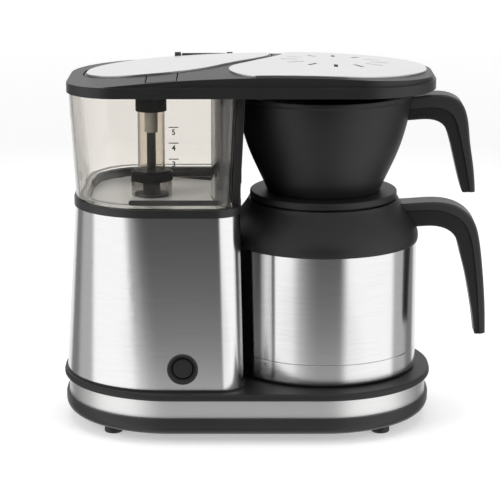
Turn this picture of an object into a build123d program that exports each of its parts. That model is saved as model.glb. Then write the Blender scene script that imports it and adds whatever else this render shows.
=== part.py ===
"""Five-cup drip coffee maker with a side tank, a cone basket and a thermal carafe.

Millimetres, +Z up, front towards -Y. The origin is the middle of the footprint on the counter.
"""

import os
from math import cos, radians, sin, sqrt, tan

from build123d import *

os.makedirs("parts", exist_ok=True)

# Fits between pieces
SLIDE_GAP = 0.3
LOOSE_FIT = 0.15
SCREW_FIT = 0.3

# Base
DECK_LENGTH = 248.0
DECK_DEPTH = 157.0
DECK_END_FLAT = 8.0
DECK_CORNER = (DECK_DEPTH - DECK_END_FLAT) / 2
DECK_TOP = 35.1
DECK_EDGE = 1.9
PAN_BOTTOM = 6.0
PAN_INSET = 1.0
PAN_WALL = 4.0
PAN_ROUND = 8.0
BAND_BOTTOM = 17.9
BAND_TOP = 30.2
BAND_INSET = 3.0
BAND_WALL = 1.0
DECK_WALL = 2.5
PLINTH_RISE = 1.0
FOOT_X = 89.0
FOOT_Y = 46.0
FOOT_RADIUS = 6.2
SCREW_X = 72.0
SCREW_Y = 48.0
SCREW_RADIUS = 1.5
SCREW_HEAD_RADIUS = 3.0
SCREW_HEAD_HEIGHT = 2.0
SCREW_SLOT = 0.9
BOSS_RADIUS = 4.5
DECK_BOSS_GRIP = 6.0
FOOT_TAPER = 4.0
FOOT_ROUND = 1.2
PLINTH_LIP = 0.6
RIB_FIT = 0.5
RIB_RISE = 4.0
DECK_SKIRT_INSET = BAND_INSET + BAND_WALL + LOOSE_FIT
SERVICE_X = -62.0
SERVICE_LENGTH = 40.0
SERVICE_WIDTH = 24.0
SERVICE_CORNER = 4.0
GLAND_X = -40.0
GLAND_Z = (BAND_BOTTOM + BAND_TOP) / 2
GLAND_RADIUS = 5.2
GLAND_FLANGE = 5.9
GLAND_PROUD = 1.6
GLAND_DEPTH = 8.0
GLAND_BORE = 3.2
GLAND_FACE = DECK_DEPTH / 2 - BAND_INSET

# Tower and tank, with a hollow side that makes room for the carafe
CARAFE_X = 51.3
BAY_RADIUS = 68.0
TOWER_HALF = 72.0
TOWER_NOSE = 17.0
TOWER_LEFT_LOW = -122.0
TOWER_LEFT_HIGH = -113.4
TOWER_CORNER_LOW = 68.5
TOWER_CORNER_HIGH = 48.5
TOWER_RIGHT_LOW = -2.0
TOWER_RIGHT_HIGH = -4.6
TOWER_WALL = 1.2
TOWER_BOTTOM = DECK_TOP + PLINTH_RISE
RING_BOTTOM = 151.6
RING_TOP = 157.0
RING_OVERHANG = 0.8
RING_WIDTH = 5.0
SPIGOT_DEPTH = 4.0
HEAD_BOTTOM = 229.7
TANK_WALL = 2.2
TANK_FLOOR = 2.6
SUMP_DEPTH = 8.0
SUMP_BOTTOM = RING_TOP - SUMP_DEPTH
TANK_FLOOR_Z = SUMP_BOTTOM + TANK_FLOOR
TANK_SHELF_Z = RING_TOP + TANK_WALL
TANK_LEFT_LOW = -112.8
TANK_LEFT_HIGH = -115.5
TANK_HALF_LOW = 71.2
TANK_HALF_HIGH = 74.6
TANK_CORNER_LOW = 47.5
TANK_CORNER_HIGH = 33.0
TANK_BACK_FLAT = 2.6
TANK_BACK_HIGH = TANK_HALF_HIGH - TANK_BACK_FLAT
TANK_RIGHT_LOW = -9.7
TANK_RIGHT_HIGH = -6.0
TANK_NOSE = 12.0
PILLAR_WIDTH = 5.0
PILLAR_HALF = 56.0

# Power button
BUTTON_X = -42.0
BUTTON_Z = 50.5
BEZEL_RADIUS = 10.2
BEZEL_BODY_RADIUS = 9.0
BEZEL_BORE = 7.2
BEZEL_PROUD = 1.2
BEZEL_ROUND = 0.72
BEZEL_DEPTH = 9.0
BUTTON_RADIUS = 6.8
BUTTON_SINK = 1.2
BUTTON_FLANGE = 8.2
BUTTON_FLANGE_DEPTH = 1.8
BUTTON_TRAVEL = 2.5
BUTTON_ROUND = 1.0
BUTTON_STEM = 2.2
SPRING_LENGTH = 9.0
SPRING_RADIUS = 4.2
SPRING_WIRE = 0.5
SPRING_TURNS = 4
SWITCH_RADIUS = 10.6
SWITCH_DEPTH = 24.0
SPRING_FRONT = -TOWER_HALF + BEZEL_DEPTH + BUTTON_FLANGE_DEPTH

# Riser that carries hot water up through the tank
RISER_X = -64.0
RISER_BASE_RADIUS = 14.3
RISER_BASE_HEIGHT = 17.8
SLEEVE_RADIUS = 9.0
SLEEVE_WALL = 1.2
COLLAR_RADIUS = 10.4
COLLAR_BOTTOM = 209.4
RISER_TUBE_RADIUS = 3.0
RISER_TUBE_WALL = 0.8
NOZZLE_RADIUS = 4.4
NOZZLE_BOTTOM = 195.0
RISER_JOIN = 205.0
RISER_BASE_STEP = 1.5
RISER_FOOT = 11.6
RISER_CORE = 5.8
RISER_CUP_RADIUS = 13.8
RISER_RING_HEIGHT = 6.9
SLEEVE_BOTTOM = TANK_FLOOR_Z + RISER_BASE_HEIGHT
RISER_RING_Z = SLEEVE_BOTTOM - RISER_RING_HEIGHT
STEM_RADIUS = 9.6
STEM_LENGTH = 9.6
STEM_BOTTOM = SUMP_BOTTOM - STEM_LENGTH

# Flow heater, hoses and controls inside the tower
HOSE_RADIUS = 8.0
HOSE_BORE = 6.0
HOSE_LAP = 8.0
HOSE_BEND = 10.0
VALVE_X = -70.0
VALVE_Y = 50.0
VALVE_BORE = 3.5
VALVE_FLANGE = 9.0
VALVE_RISE = 3.0
BOILER_RIGHT = -34.0
BOILER_FRONT = -22.0
BOILER_BACK = 34.0
BOILER_Z = 66.0
BOILER_WALL = 1.6
BOILER_BEND = 16.0
HEATER_RADIUS = 4.0
HEATER_STEP = 9.0
HEATER_Z = BOILER_Z - HOSE_BORE - HEATER_RADIUS
BRACKET_Y = 22.0
BRACKET_LEFT = -78.0
BRACKET_RIGHT = -30.0
BRACKET_FOOT = 6.0
BRACKET_SHEET = 1.6
BRACKET_WIDTH = 16.0
THERMOSTAT_Y = 6.0
THERMOSTAT_RADIUS = 8.0
THERMOSTAT_HEIGHT = 5.0
TERMINAL_THICK = 0.8
TERMINAL_WIDTH = 4.0
TERMINAL_HEIGHT = 7.0
FUSE_RADIUS = 2.5
FUSE_LENGTH = 14.0
OUTLET_DROP = 15.4
OUTLET_Z = STEM_BOTTOM - OUTLET_DROP
CLAMP_WALL = 1.2
CLAMP_WIDTH = 5.0
BOARD_X = -99.0
BOARD_Y = -10.0
BOARD_WIDTH = 26.0
BOARD_LENGTH = 44.0
BOARD_POST = 4.0
BOARD_RISE = 5.0
BOARD_THICK = 1.6
BOARD_PARTS = 9.0

# Head over the tank and the basket
HEAD_LEFT = -116.7
HEAD_RIGHT = 123.5
HEAD_HALF = 76.6
HEAD_CORNER_LEFT = 33.0
HEAD_CORNER_RIGHT = 50.0
HEAD_WALL = 4.0
HEAD_BACK_FLAT = 0.6
HEAD_CORNER_BACK = HEAD_HALF - HEAD_BACK_FLAT
RIM_HEIGHT = 7.0
RIM_TOP = HEAD_BOTTOM + RIM_HEIGHT
RIM_FALL = 4.0
UPPER_INSET = 1.6
CROWN_RISE = 6.7
CROWN_TOP = RIM_TOP + CROWN_RISE
CROWN_RADIUS = 1000.0
CROWN_THICK = 3.9
CROWN_X = 20.0
CROWN_Y = -45.0
CROWN_CENTRE = (CROWN_X, CROWN_Y, CROWN_TOP - CROWN_RADIUS)
PLATE_THICK = 1.2
PLATE_INSET = 5.0
PLATE_CORNER = 64.0
FLAP_THICK = 2.4
FLAP_BORDER = 1.6
FLAP_GAP = 0.8
LEDGE_WIDTH = 3.5
LEDGE_THICK = 1.5
LEDGE_RIM = 2.0
LEDGE_SPHERE = CROWN_RADIUS - FLAP_THICK - SLIDE_GAP
LEAF_BACK = 60.0
LEAF_FRONT = -45.0
LEAF_LEFT = -106.0
LEAF_RIGHT = 15.0
LEAF_CORNER = 60.0
LEAF_LEFT_TURN = 38.0
LEAF_TURN_X = -60.0
LEAF_FRONT_TURN = 50.0
LEAF_FLANK = 54.0
LEAF_RIGHT_TURN = 65.0
TAB_X = -54.5
TAB_WIDTH = 19.0
TAB_FRONT = -72.5
HINGE_X = -30.0
HINGE_SETBACK = 6.0
HINGE_Y = LEAF_BACK + HINGE_SETBACK
HINGE_FALL = CROWN_RADIUS - sqrt(CROWN_RADIUS**2 - (HINGE_X - CROWN_X) ** 2 - (HINGE_Y - CROWN_Y) ** 2)
HINGE_Z = CROWN_TOP - HINGE_FALL
HINGE_LENGTH = 30.0
BARREL_RADIUS = 1.9
PIN_RADIUS = 0.9
LUG_RADIUS = 2.6
LUG_LENGTH = 4.2
LUG_REACH = HINGE_LENGTH / 2 + FLAP_GAP + LUG_LENGTH / 2
PIN_LENGTH = HINGE_LENGTH + 2 * (FLAP_GAP + LUG_LENGTH)
HINGE_CLEAR = 4.0
UNDER_THICK = 1.6
UNDER_TOP = HEAD_BOTTOM + UNDER_THICK
SHOWER_RADIUS = 39.6
SHOWER_BOTTOM = 226.0
SHOWER_HOLE = 1.2
SHOWER_RING_SHARES = [0.3, 0.55, 0.8]
SHOWER_RING_COUNTS = [6, 10, 14]
SHOWER_WALL = 2.0
SHOWER_FLANGE = 3.0
FILL_X = -57.0
FILL_Y = 32.5
FILL_LENGTH = 72.0
FILL_WIDTH = 39.0
FILL_CORNER = 18.0
HEAD_SCREW_SETBACK = 12.6
HEAD_SCREW_SETBACK_RIGHT = 36.6
HEAD_SCREWS = [
    (30.0, HEAD_SCREW_SETBACK - HEAD_HALF),
    (30.0, HEAD_HALF - HEAD_SCREW_SETBACK),
    (98.0, HEAD_SCREW_SETBACK_RIGHT - HEAD_HALF),
    (98.0, HEAD_HALF - HEAD_SCREW_SETBACK_RIGHT),
]
HEAD_SCREW_GRIP = 3.6
UNDER_SINK = 0.8
CROSSOVER_RADIUS = RISER_TUBE_RADIUS
CROSSOVER_Z = HEAD_BOTTOM + CROSSOVER_RADIUS + SLIDE_GAP
CROSSOVER_BEND = 3.4
CROSSOVER_PASSAGE = 2 * (CROSSOVER_RADIUS + SLIDE_GAP)
SPOUT_Z = 229.4
VENT_X = 58.0
VENT_Y = 2.0
VENT_COUNT = 12
VENT_RADIUS = 30.0
VENT_LENGTH = 12.0
VENT_WIDTH = 2.6
VENT_PLATE_FRONT = -72.5
VENT_PLATE_BACK = 75.0
VENT_PLATE_EDGE = [
    (9.0, VENT_PLATE_FRONT),
    (-3.0, -66.0),
    (-10.0, -52.0),
    (-11.5, -38.0),
    (-8.0, -26.0),
    (-1.0, -15.0),
    (7.0, -1.0),
    (14.0, 12.0),
    (21.0, 30.0),
    (25.0, 50.0),
    (27.0, VENT_PLATE_BACK),
]

# Thermal carafe
CARAFE_BOTTOM = DECK_TOP + SLIDE_GAP
CARAFE_RADIUS = 63.0
CARAFE_ROUND = 3.0
CUP_ROUND = 2.4
CUP_WALL = 1.0
SEAM_Z = 50.1
SHELL_WALL = 0.8
SHOULDER_Z = 122.3
SHELL_TURN = 124.5
NECK_RADIUS = 46.0
NECK_LOW = 147.5
NECK_TOP = 150.2
LINER_RADIUS = 57.0
LINER_BOTTOM = 42.0
LINER_WALL = 0.8
LINER_NECK = 44.6
LID_BOTTOM = 150.9
LID_TOP = 156.0
LID_RADIUS = 49.3
PLUG_RADIUS = 43.2
PLUG_BOTTOM = 136.0
SHOULDER_TOP = 150.4
DRIP_RADIUS = 5.0
SEAM_LAP = 4.0
SEAM_BEVEL = 0.35
SEAM_NEAR = 0.01
SHELL_STEP = 1.5
SHELL_RISE = 3.5
LINER_BEVEL = 3.0
PLUG_WALL = 3.2
SEAL_Z = 141.0
SEAL_HEIGHT = 2.5
SEAL_DEPTH = 0.8
SEAL_PROUD = 0.3
LID_DISH = 30.0
LID_DISH_DEPTH = 2.0
LID_ROUND = 1.0
SHOULDER_PROUD = 0.6
SHOULDER_CURVE = [
    (CARAFE_RADIUS + SHOULDER_PROUD, SHOULDER_Z),
    (63.9, 127.0),
    (61.8, 133.0),
    (57.8, 139.5),
    (53.8, 145.0),
    (51.4, 148.4),
    (50.4, SHOULDER_TOP),
]

# Handles, as side-view curves running from the root out and down to the tip
CARAFE_GRIP_HALF = 10.0
GRIP_SETBACK = 1.2
GRIP_ROUND = 1.6
CARAFE_GRIP_OUT = [
    (98.0, 147.4),
    (120.0, 148.4),
    (136.0, 147.2),
    (146.6, 142.0),
    (152.6, 134.6),
    (155.4, 126.0),
    (158.2, 107.0),
    (160.6, 79.0),
    (161.3, 58.0),
]
CARAFE_GRIP_MID = [
    (98.0, 142.5),
    (118.0, 143.4),
    (132.5, 142.2),
    (142.0, 137.8),
    (147.8, 131.2),
    (150.6, 123.5),
    (153.6, 106.0),
    (156.2, 79.0),
    (157.4, 57.2),
]
CARAFE_GRIP_IN = [
    (98.0, 131.6),
    (124.0, 131.8),
    (132.5, 130.2),
    (138.6, 126.0),
    (143.2, 114.0),
    (146.9, 100.0),
    (149.8, 86.0),
    (152.3, 72.0),
    (154.2, 57.0),
]
BASKET_GRIP_OUT = [
    (100.0, 219.8),
    (122.0, 221.0),
    (134.0, 220.4),
    (141.6, 216.4),
    (145.6, 209.0),
    (148.4, 190.0),
    (150.5, 176.0),
    (152.4, 155.6),
]
BASKET_GRIP_MID = [
    (100.0, 212.4),
    (120.0, 212.8),
    (130.0, 211.8),
    (136.4, 207.8),
    (139.8, 201.0),
    (143.2, 187.0),
    (146.0, 174.0),
    (149.2, 155.2),
]
BASKET_GRIP_IN = [
    (100.0, 204.4),
    (118.0, 204.4),
    (125.0, 203.6),
    (130.5, 200.4),
    (133.8, 194.0),
    (136.8, 183.0),
    (140.0, 169.5),
    (144.0, 155.0),
]

# Cone basket
BASKET_BOTTOM = LID_TOP + SLIDE_GAP
BASKET_TOP = 222.9
BASKET_WALL = 2.0
BASKET_GRIP_HALF = 9.5
RIB_COUNT = 16
RIB_HEIGHT = 1.6
RIB_WIDTH = 1.4
DRAIN_RADIUS = 4.0
BASKET_FLOOR = 2.4
BASKET_LIP = 1.0
BASKET_LIP_HEIGHT = 2.5
BASKET_CURVE = [
    (37.8, BASKET_BOTTOM),
    (43.6, 169.0),
    (49.8, 183.0),
    (55.4, 201.0),
    (57.8, 213.0),
    (58.4, BASKET_TOP - 1.5 * BASKET_LIP_HEIGHT),
]


def tower_face(z, left, half, corner, back, right, nose, bay, inset):
    """Plan of the tower: round left end, straight front and back, hollow right side."""
    west = left + inset
    deep = half - inset
    big = corner - inset
    rear = back - inset
    east = right - inset
    small = max(nose - inset, 1.0)
    hollow = bay + inset
    tip = sqrt(hollow**2 - (CARAFE_X - east) ** 2)
    with BuildSketch(Plane.XY.offset(z)) as face:
        with BuildLine():
            Line((east, -tip), (east, -deep + small))
            RadiusArc((east, -deep + small), (east - small, -deep), small)
            Line((east - small, -deep), (west + big, -deep))
            RadiusArc((west + big, -deep), (west, -deep + big), big)
            Line((west, -deep + big), (west, deep - rear))
            RadiusArc((west, deep - rear), (west + rear, deep), rear)
            Line((west + rear, deep), (east - small, deep))
            RadiusArc((east - small, deep), (east, deep - small), small)
            Line((east, deep - small), (east, tip))
            ThreePointArc((east, tip), (CARAFE_X - hollow, 0), (east, -tip))
        make_face()
    return face.sketch


def tower_low(z, inset):
    """Plan of the tower at its foot."""
    corner = TOWER_CORNER_LOW
    left, right = TOWER_LEFT_LOW, TOWER_RIGHT_LOW
    return tower_face(z, left, TOWER_HALF, corner, corner, right, TOWER_NOSE, BAY_RADIUS, inset)


def tower_high(z, inset):
    """Plan of the tower at its top edge."""
    corner = TOWER_CORNER_HIGH
    left, right = TOWER_LEFT_HIGH, TOWER_RIGHT_HIGH
    return tower_face(z, left, TOWER_HALF, corner, corner, right, TOWER_NOSE, BAY_RADIUS, inset)


TANK_BAY = BAY_RADIUS + PILLAR_WIDTH + LOOSE_FIT


def tank_low(z, inset):
    """Plan of the tank where it stands on the ring."""
    corner = TANK_CORNER_LOW
    left, right = TANK_LEFT_LOW, TANK_RIGHT_LOW
    return tower_face(z, left, TANK_HALF_LOW, corner, corner, right, TANK_NOSE, TANK_BAY, inset)


def tank_high(z, inset):
    """Plan of the tank under the head, rounder at the back as the head is."""
    front, back = TANK_CORNER_HIGH, TANK_BACK_HIGH
    left, right = TANK_LEFT_HIGH, TANK_RIGHT_HIGH
    return tower_face(z, left, TANK_HALF_HIGH, front, back, right, TANK_NOSE, TANK_BAY, inset)


def pillar_face(z, tank_right):
    """Plan of the panel that follows the hollow side of the tank."""
    inner = tank_right + LOOSE_FIT
    outer = inner + PILLAR_WIDTH
    far = BAY_RADIUS + PILLAR_WIDTH
    tip_out = sqrt(BAY_RADIUS**2 - (CARAFE_X - outer) ** 2)
    tip_in = sqrt(far**2 - (CARAFE_X - inner) ** 2)
    with BuildSketch(Plane.XY.offset(z)) as face:
        with BuildLine():
            Line((outer, -tip_out), (outer, -PILLAR_HALF))
            Line((outer, -PILLAR_HALF), (inner, -PILLAR_HALF))
            Line((inner, -PILLAR_HALF), (inner, -tip_in))
            ThreePointArc((inner, -tip_in), (CARAFE_X - far, 0), (inner, tip_in))
            Line((inner, tip_in), (inner, PILLAR_HALF))
            Line((inner, PILLAR_HALF), (outer, PILLAR_HALF))
            Line((outer, PILLAR_HALF), (outer, tip_out))
            ThreePointArc((outer, tip_out), (CARAFE_X - BAY_RADIUS, 0), (outer, -tip_out))
        make_face()
    return face.sketch


def head_face(z, inset, right_corner=HEAD_CORNER_RIGHT):
    """Plan of the head: rounded front corners and a back that is round all over."""
    west = HEAD_LEFT + inset
    east = HEAD_RIGHT - inset
    deep = HEAD_HALF - inset
    a = HEAD_CORNER_LEFT - inset
    b = right_corner
    c = HEAD_CORNER_BACK - inset
    with BuildSketch(Plane.XY.offset(z)) as face:
        with BuildLine():
            Line((west + a, -deep), (east - b, -deep))
            RadiusArc((east - b, -deep), (east, -deep + b), -b)
            Line((east, -deep + b), (east, deep - c))
            RadiusArc((east, deep - c), (east - c, deep), -c)
            Line((east - c, deep), (west + c, deep))
            RadiusArc((west + c, deep), (west, deep - c), -c)
            Line((west, deep - c), (west, -deep + a))
            RadiusArc((west, -deep + a), (west + a, -deep), -a)
        make_face()
    return face.sketch


def leaf_face(z, grow):
    """Plan of the tank lid's steel plate: rounded front corners and a slanted right flank."""
    lean = radians(LEAF_FLANK)
    west = LEAF_LEFT - grow
    east = LEAF_RIGHT + grow
    south = LEAF_FRONT - grow
    north = LEAF_BACK + grow
    left_turn = LEAF_LEFT_TURN + grow
    front_turn = LEAF_FRONT_TURN + grow
    right_turn = LEAF_RIGHT_TURN + grow
    corner = LEAF_CORNER + grow
    low_x = LEAF_TURN_X + front_turn * sin(lean)
    low_y = south + front_turn * (1 - cos(lean))
    high_x = east - right_turn * (1 - sin(lean))
    high_y = low_y + (high_x - low_x) * tan(lean)
    turn_end = high_y + right_turn * cos(lean)
    with BuildSketch(Plane.XY.offset(z)) as face:
        with BuildLine():
            RadiusArc((west, south + left_turn), (west + left_turn, south), -left_turn)
            Line((west + left_turn, south), (LEAF_TURN_X, south))
            RadiusArc((LEAF_TURN_X, south), (low_x, low_y), -front_turn)
            Line((low_x, low_y), (high_x, high_y))
            RadiusArc((high_x, high_y), (east, turn_end), -right_turn)
            Line((east, turn_end), (east, north))
            Line((east, north), (west + corner, north))
            RadiusArc((west + corner, north), (west, north - corner), -corner)
            Line((west, north - corner), (west, south + left_turn))
        make_face()
    return face.sketch


def flap_face(z, grow):
    """Plan of the tank lid with its finger tab."""
    with BuildSketch(Plane.XY.offset(z)) as face:
        add(leaf_face(0, FLAP_BORDER + grow))
        with Locations((TAB_X, TAB_FRONT / 2)):
            Rectangle(TAB_WIDTH + 2 * grow, -TAB_FRONT + 2 * grow)
    return face.sketch


def around(radius_height, x=CARAFE_X):
    """Filled half-section about an upright axis, to be turned into a round solid."""
    with BuildSketch(Plane(origin=(x, 0, 0), x_dir=(1, 0, 0), z_dir=(0, -1, 0))) as face:
        with BuildLine():
            Polyline(*radius_height, close=True)
        make_face()
    return face.sketch


CARAFE_AXIS = Axis((CARAFE_X, 0, 0), (0, 0, 1))
RISER_AXIS = Axis((RISER_X, 0, 0), (0, 0, 1))


# Base: pan, band and deck
with BuildPart() as base_pan:
    with BuildSketch(Plane.XY.offset(PAN_BOTTOM)):
        RectangleRounded(DECK_LENGTH - 2 * PAN_INSET, DECK_DEPTH - 2 * PAN_INSET, DECK_CORNER - PAN_INSET)
    extrude(amount=BAND_BOTTOM - PAN_BOTTOM)
    fillet(base_pan.faces().sort_by(Axis.Z)[0].edges(), radius=PAN_ROUND)
    offset(amount=-PAN_WALL, openings=base_pan.faces().sort_by(Axis.Z)[-1])
    with BuildSketch(Plane.XY.offset(PAN_BOTTOM + PAN_WALL)):
        with GridLocations(2 * SCREW_X, 2 * SCREW_Y, 2, 2):
            Circle(BOSS_RADIUS)
    extrude(amount=BAND_BOTTOM - PAN_BOTTOM - PAN_WALL)
    with BuildSketch(Plane.XY.offset(PAN_BOTTOM)):
        with GridLocations(2 * SCREW_X, 2 * SCREW_Y, 2, 2):
            Circle(SCREW_RADIUS + SCREW_FIT)
    extrude(amount=BAND_BOTTOM - PAN_BOTTOM, mode=Mode.SUBTRACT)
    with BuildSketch(Plane.XY.offset(PAN_BOTTOM)):
        with GridLocations(2 * SCREW_X, 2 * SCREW_Y, 2, 2):
            Circle(SCREW_HEAD_RADIUS + SCREW_FIT)
    extrude(amount=SCREW_HEAD_HEIGHT + SCREW_FIT, mode=Mode.SUBTRACT)
base_pan.part.label = "base_pan"
export_step(base_pan.part, "parts/base_pan.step")

with BuildPart() as base_screws:
    with BuildSketch(Plane.XY.offset(PAN_BOTTOM + SCREW_FIT)):
        with GridLocations(2 * SCREW_X, 2 * SCREW_Y, 2, 2):
            Circle(SCREW_HEAD_RADIUS)
    extrude(amount=SCREW_HEAD_HEIGHT)
    with BuildSketch(Plane.XY.offset(PAN_BOTTOM + SCREW_FIT + SCREW_HEAD_HEIGHT)):
        with GridLocations(2 * SCREW_X, 2 * SCREW_Y, 2, 2):
            Circle(SCREW_RADIUS)
    extrude(amount=BAND_BOTTOM - PAN_BOTTOM + DECK_BOSS_GRIP)
    with BuildSketch(Plane.XY.offset(PAN_BOTTOM + SCREW_FIT)):
        with GridLocations(2 * SCREW_X, 2 * SCREW_Y, 2, 2):
            Rectangle(SCREW_HEAD_RADIUS, SCREW_SLOT)
            Rectangle(SCREW_SLOT, SCREW_HEAD_RADIUS)
    extrude(amount=SCREW_SLOT, mode=Mode.SUBTRACT)
base_screws.part.label = "base_screws"
export_step(base_screws.part, "parts/base_screws.step")

with BuildPart() as rubber_feet:
    with BuildSketch():
        with GridLocations(2 * FOOT_X, 2 * FOOT_Y, 2, 2):
            Circle(FOOT_RADIUS)
    extrude(amount=PAN_BOTTOM, taper=FOOT_TAPER)
    fillet(rubber_feet.edges().group_by(Axis.Z)[0], radius=FOOT_ROUND)
rubber_feet.part.label = "rubber_feet"
export_step(rubber_feet.part, "parts/rubber_feet.step")

with BuildPart() as base_band:
    with BuildSketch(Plane.XY.offset(BAND_BOTTOM)):
        RectangleRounded(
            DECK_LENGTH - 2 * BAND_INSET,
            DECK_DEPTH - 2 * BAND_INSET,
            DECK_CORNER - BAND_INSET,
        )
        RectangleRounded(
            DECK_LENGTH - 2 * BAND_INSET - 2 * BAND_WALL,
            DECK_DEPTH - 2 * BAND_INSET - 2 * BAND_WALL,
            DECK_CORNER - BAND_INSET - BAND_WALL,
            mode=Mode.SUBTRACT,
        )
    extrude(amount=BAND_TOP - BAND_BOTTOM)
    with BuildSketch(Plane(origin=(GLAND_X, 0, GLAND_Z), x_dir=(1, 0, 0), z_dir=(0, 1, 0))):
        Circle(GLAND_RADIUS + LOOSE_FIT)
    extrude(amount=DECK_DEPTH / 2, mode=Mode.SUBTRACT)
base_band.part.label = "base_band"
export_step(base_band.part, "parts/base_band.step")

with BuildPart() as base_deck:
    with BuildSketch(Plane.XY.offset(BAND_TOP)):
        RectangleRounded(DECK_LENGTH, DECK_DEPTH, DECK_CORNER)
    extrude(amount=DECK_TOP - BAND_TOP)
    fillet(base_deck.edges(), radius=DECK_EDGE)
    extrude(tower_low(DECK_TOP, -PLINTH_LIP), amount=PLINTH_RISE)
    extrude(tower_low(TOWER_BOTTOM, TOWER_WALL + RIB_FIT), amount=RIB_RISE)
    extrude(tower_low(TOWER_BOTTOM, TOWER_WALL + RIB_FIT + DECK_WALL), amount=RIB_RISE, mode=Mode.SUBTRACT)
    with BuildSketch(Plane.XY.offset(BAND_BOTTOM)):
        RectangleRounded(
            DECK_LENGTH - 2 * DECK_SKIRT_INSET,
            DECK_DEPTH - 2 * DECK_SKIRT_INSET,
            DECK_CORNER - DECK_SKIRT_INSET,
        )
        RectangleRounded(
            DECK_LENGTH - 2 * DECK_SKIRT_INSET - 2 * DECK_WALL,
            DECK_DEPTH - 2 * DECK_SKIRT_INSET - 2 * DECK_WALL,
            DECK_CORNER - DECK_SKIRT_INSET - DECK_WALL,
            mode=Mode.SUBTRACT,
        )
    extrude(amount=BAND_TOP - BAND_BOTTOM)
    with BuildSketch(Plane.XY.offset(BAND_BOTTOM)):
        with GridLocations(2 * SCREW_X, 2 * SCREW_Y, 2, 2):
            Circle(BOSS_RADIUS)
    extrude(amount=BAND_TOP - BAND_BOTTOM)
    with BuildSketch(Plane.XY.offset(BAND_BOTTOM)):
        with GridLocations(2 * SCREW_X, 2 * SCREW_Y, 2, 2):
            Circle(SCREW_RADIUS)
    extrude(amount=BAND_TOP - BAND_BOTTOM, mode=Mode.SUBTRACT)
    with BuildSketch(Plane.XY.offset(BAND_TOP)):
        with Locations((SERVICE_X, 0)):
            RectangleRounded(SERVICE_LENGTH, SERVICE_WIDTH, SERVICE_CORNER)
    extrude(amount=TOWER_BOTTOM - BAND_TOP, mode=Mode.SUBTRACT)
    with BuildSketch(Plane(origin=(GLAND_X, 0, GLAND_Z), x_dir=(1, 0, 0), z_dir=(0, 1, 0))):
        Circle(GLAND_RADIUS + LOOSE_FIT)
    extrude(amount=DECK_DEPTH / 2, mode=Mode.SUBTRACT)
base_deck.part.label = "base_deck"
export_step(base_deck.part, "parts/base_deck.step")

with BuildPart() as cord_gland:
    with BuildSketch(Plane(origin=(GLAND_X, GLAND_FACE, GLAND_Z), x_dir=(1, 0, 0), z_dir=(0, 1, 0))):
        Circle(GLAND_FLANGE)
    extrude(amount=GLAND_PROUD)
    with BuildSketch(Plane(origin=(GLAND_X, GLAND_FACE, GLAND_Z), x_dir=(1, 0, 0), z_dir=(0, -1, 0))):
        Circle(GLAND_RADIUS)
    extrude(amount=GLAND_DEPTH)
    gland_inside = (GLAND_X, GLAND_FACE - GLAND_DEPTH, GLAND_Z)
    with BuildSketch(Plane(origin=gland_inside, x_dir=(1, 0, 0), z_dir=(0, 1, 0))):
        Circle(GLAND_BORE)
    extrude(amount=GLAND_DEPTH + GLAND_PROUD, mode=Mode.SUBTRACT)
cord_gland.part.label = "cord_gland"
export_step(cord_gland.part, "parts/cord_gland.step")

# Tower, gasket ring, tank and the panel beside the tank
with BuildPart() as tower_shell:
    loft([tower_low(TOWER_BOTTOM, 0), tower_high(RING_BOTTOM, 0)], ruled=True)
    tower_inside = [tower_low(TOWER_BOTTOM, TOWER_WALL), tower_high(RING_BOTTOM, TOWER_WALL)]
    loft(tower_inside, ruled=True, mode=Mode.SUBTRACT)
    with BuildSketch(Plane(origin=(BUTTON_X, 0, BUTTON_Z), x_dir=(1, 0, 0), z_dir=(0, -1, 0))):
        Circle(BEZEL_BODY_RADIUS + LOOSE_FIT)
    extrude(amount=TOWER_HALF + TOWER_WALL, mode=Mode.SUBTRACT)
tower_shell.part.label = "tower_shell"
export_step(tower_shell.part, "parts/tower_shell.step")

with BuildPart() as tank_gasket:
    extrude(tower_high(RING_BOTTOM, -RING_OVERHANG), amount=RING_TOP - RING_BOTTOM)
    extrude(tower_high(RING_BOTTOM - SPIGOT_DEPTH, TOWER_WALL + RIB_FIT), amount=SPIGOT_DEPTH)
    extrude(
        tower_high(RING_BOTTOM - SPIGOT_DEPTH, RING_WIDTH),
        amount=RING_TOP - RING_BOTTOM + SPIGOT_DEPTH,
        mode=Mode.SUBTRACT,
    )
tank_gasket.part.label = "tank_gasket"
export_step(tank_gasket.part, "parts/tank_gasket.step")

with BuildPart() as water_tank:
    loft([tank_low(RING_TOP, 0), tank_high(HEAD_BOTTOM, 0)], ruled=True)
    extrude(tower_high(SUMP_BOTTOM, RING_WIDTH + SLIDE_GAP), amount=SUMP_DEPTH)
    tank_inside = [tank_low(TANK_SHELF_Z, TANK_WALL), tank_high(HEAD_BOTTOM, TANK_WALL)]
    loft(tank_inside, ruled=True, mode=Mode.SUBTRACT)
    extrude(
        tower_high(TANK_FLOOR_Z, RING_WIDTH + SLIDE_GAP + TANK_WALL),
        amount=TANK_SHELF_Z - TANK_FLOOR_Z,
        mode=Mode.SUBTRACT,
    )
    with BuildSketch(Plane.XY.offset(SUMP_BOTTOM)):
        with Locations((RISER_X, 0)):
            Circle(STEM_RADIUS + LOOSE_FIT)
        with Locations((VALVE_X, VALVE_Y)):
            Circle(HOSE_BORE + LOOSE_FIT)
    extrude(amount=TANK_FLOOR, mode=Mode.SUBTRACT)
water_tank.part.label = "water_tank"
export_step(water_tank.part, "parts/water_tank.step")

with BuildPart() as side_panel:
    loft([pillar_face(RING_TOP, TANK_RIGHT_LOW), pillar_face(HEAD_BOTTOM, TANK_RIGHT_HIGH)], ruled=True)
side_panel.part.label = "side_panel"
export_step(side_panel.part, "parts/side_panel.step")

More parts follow.
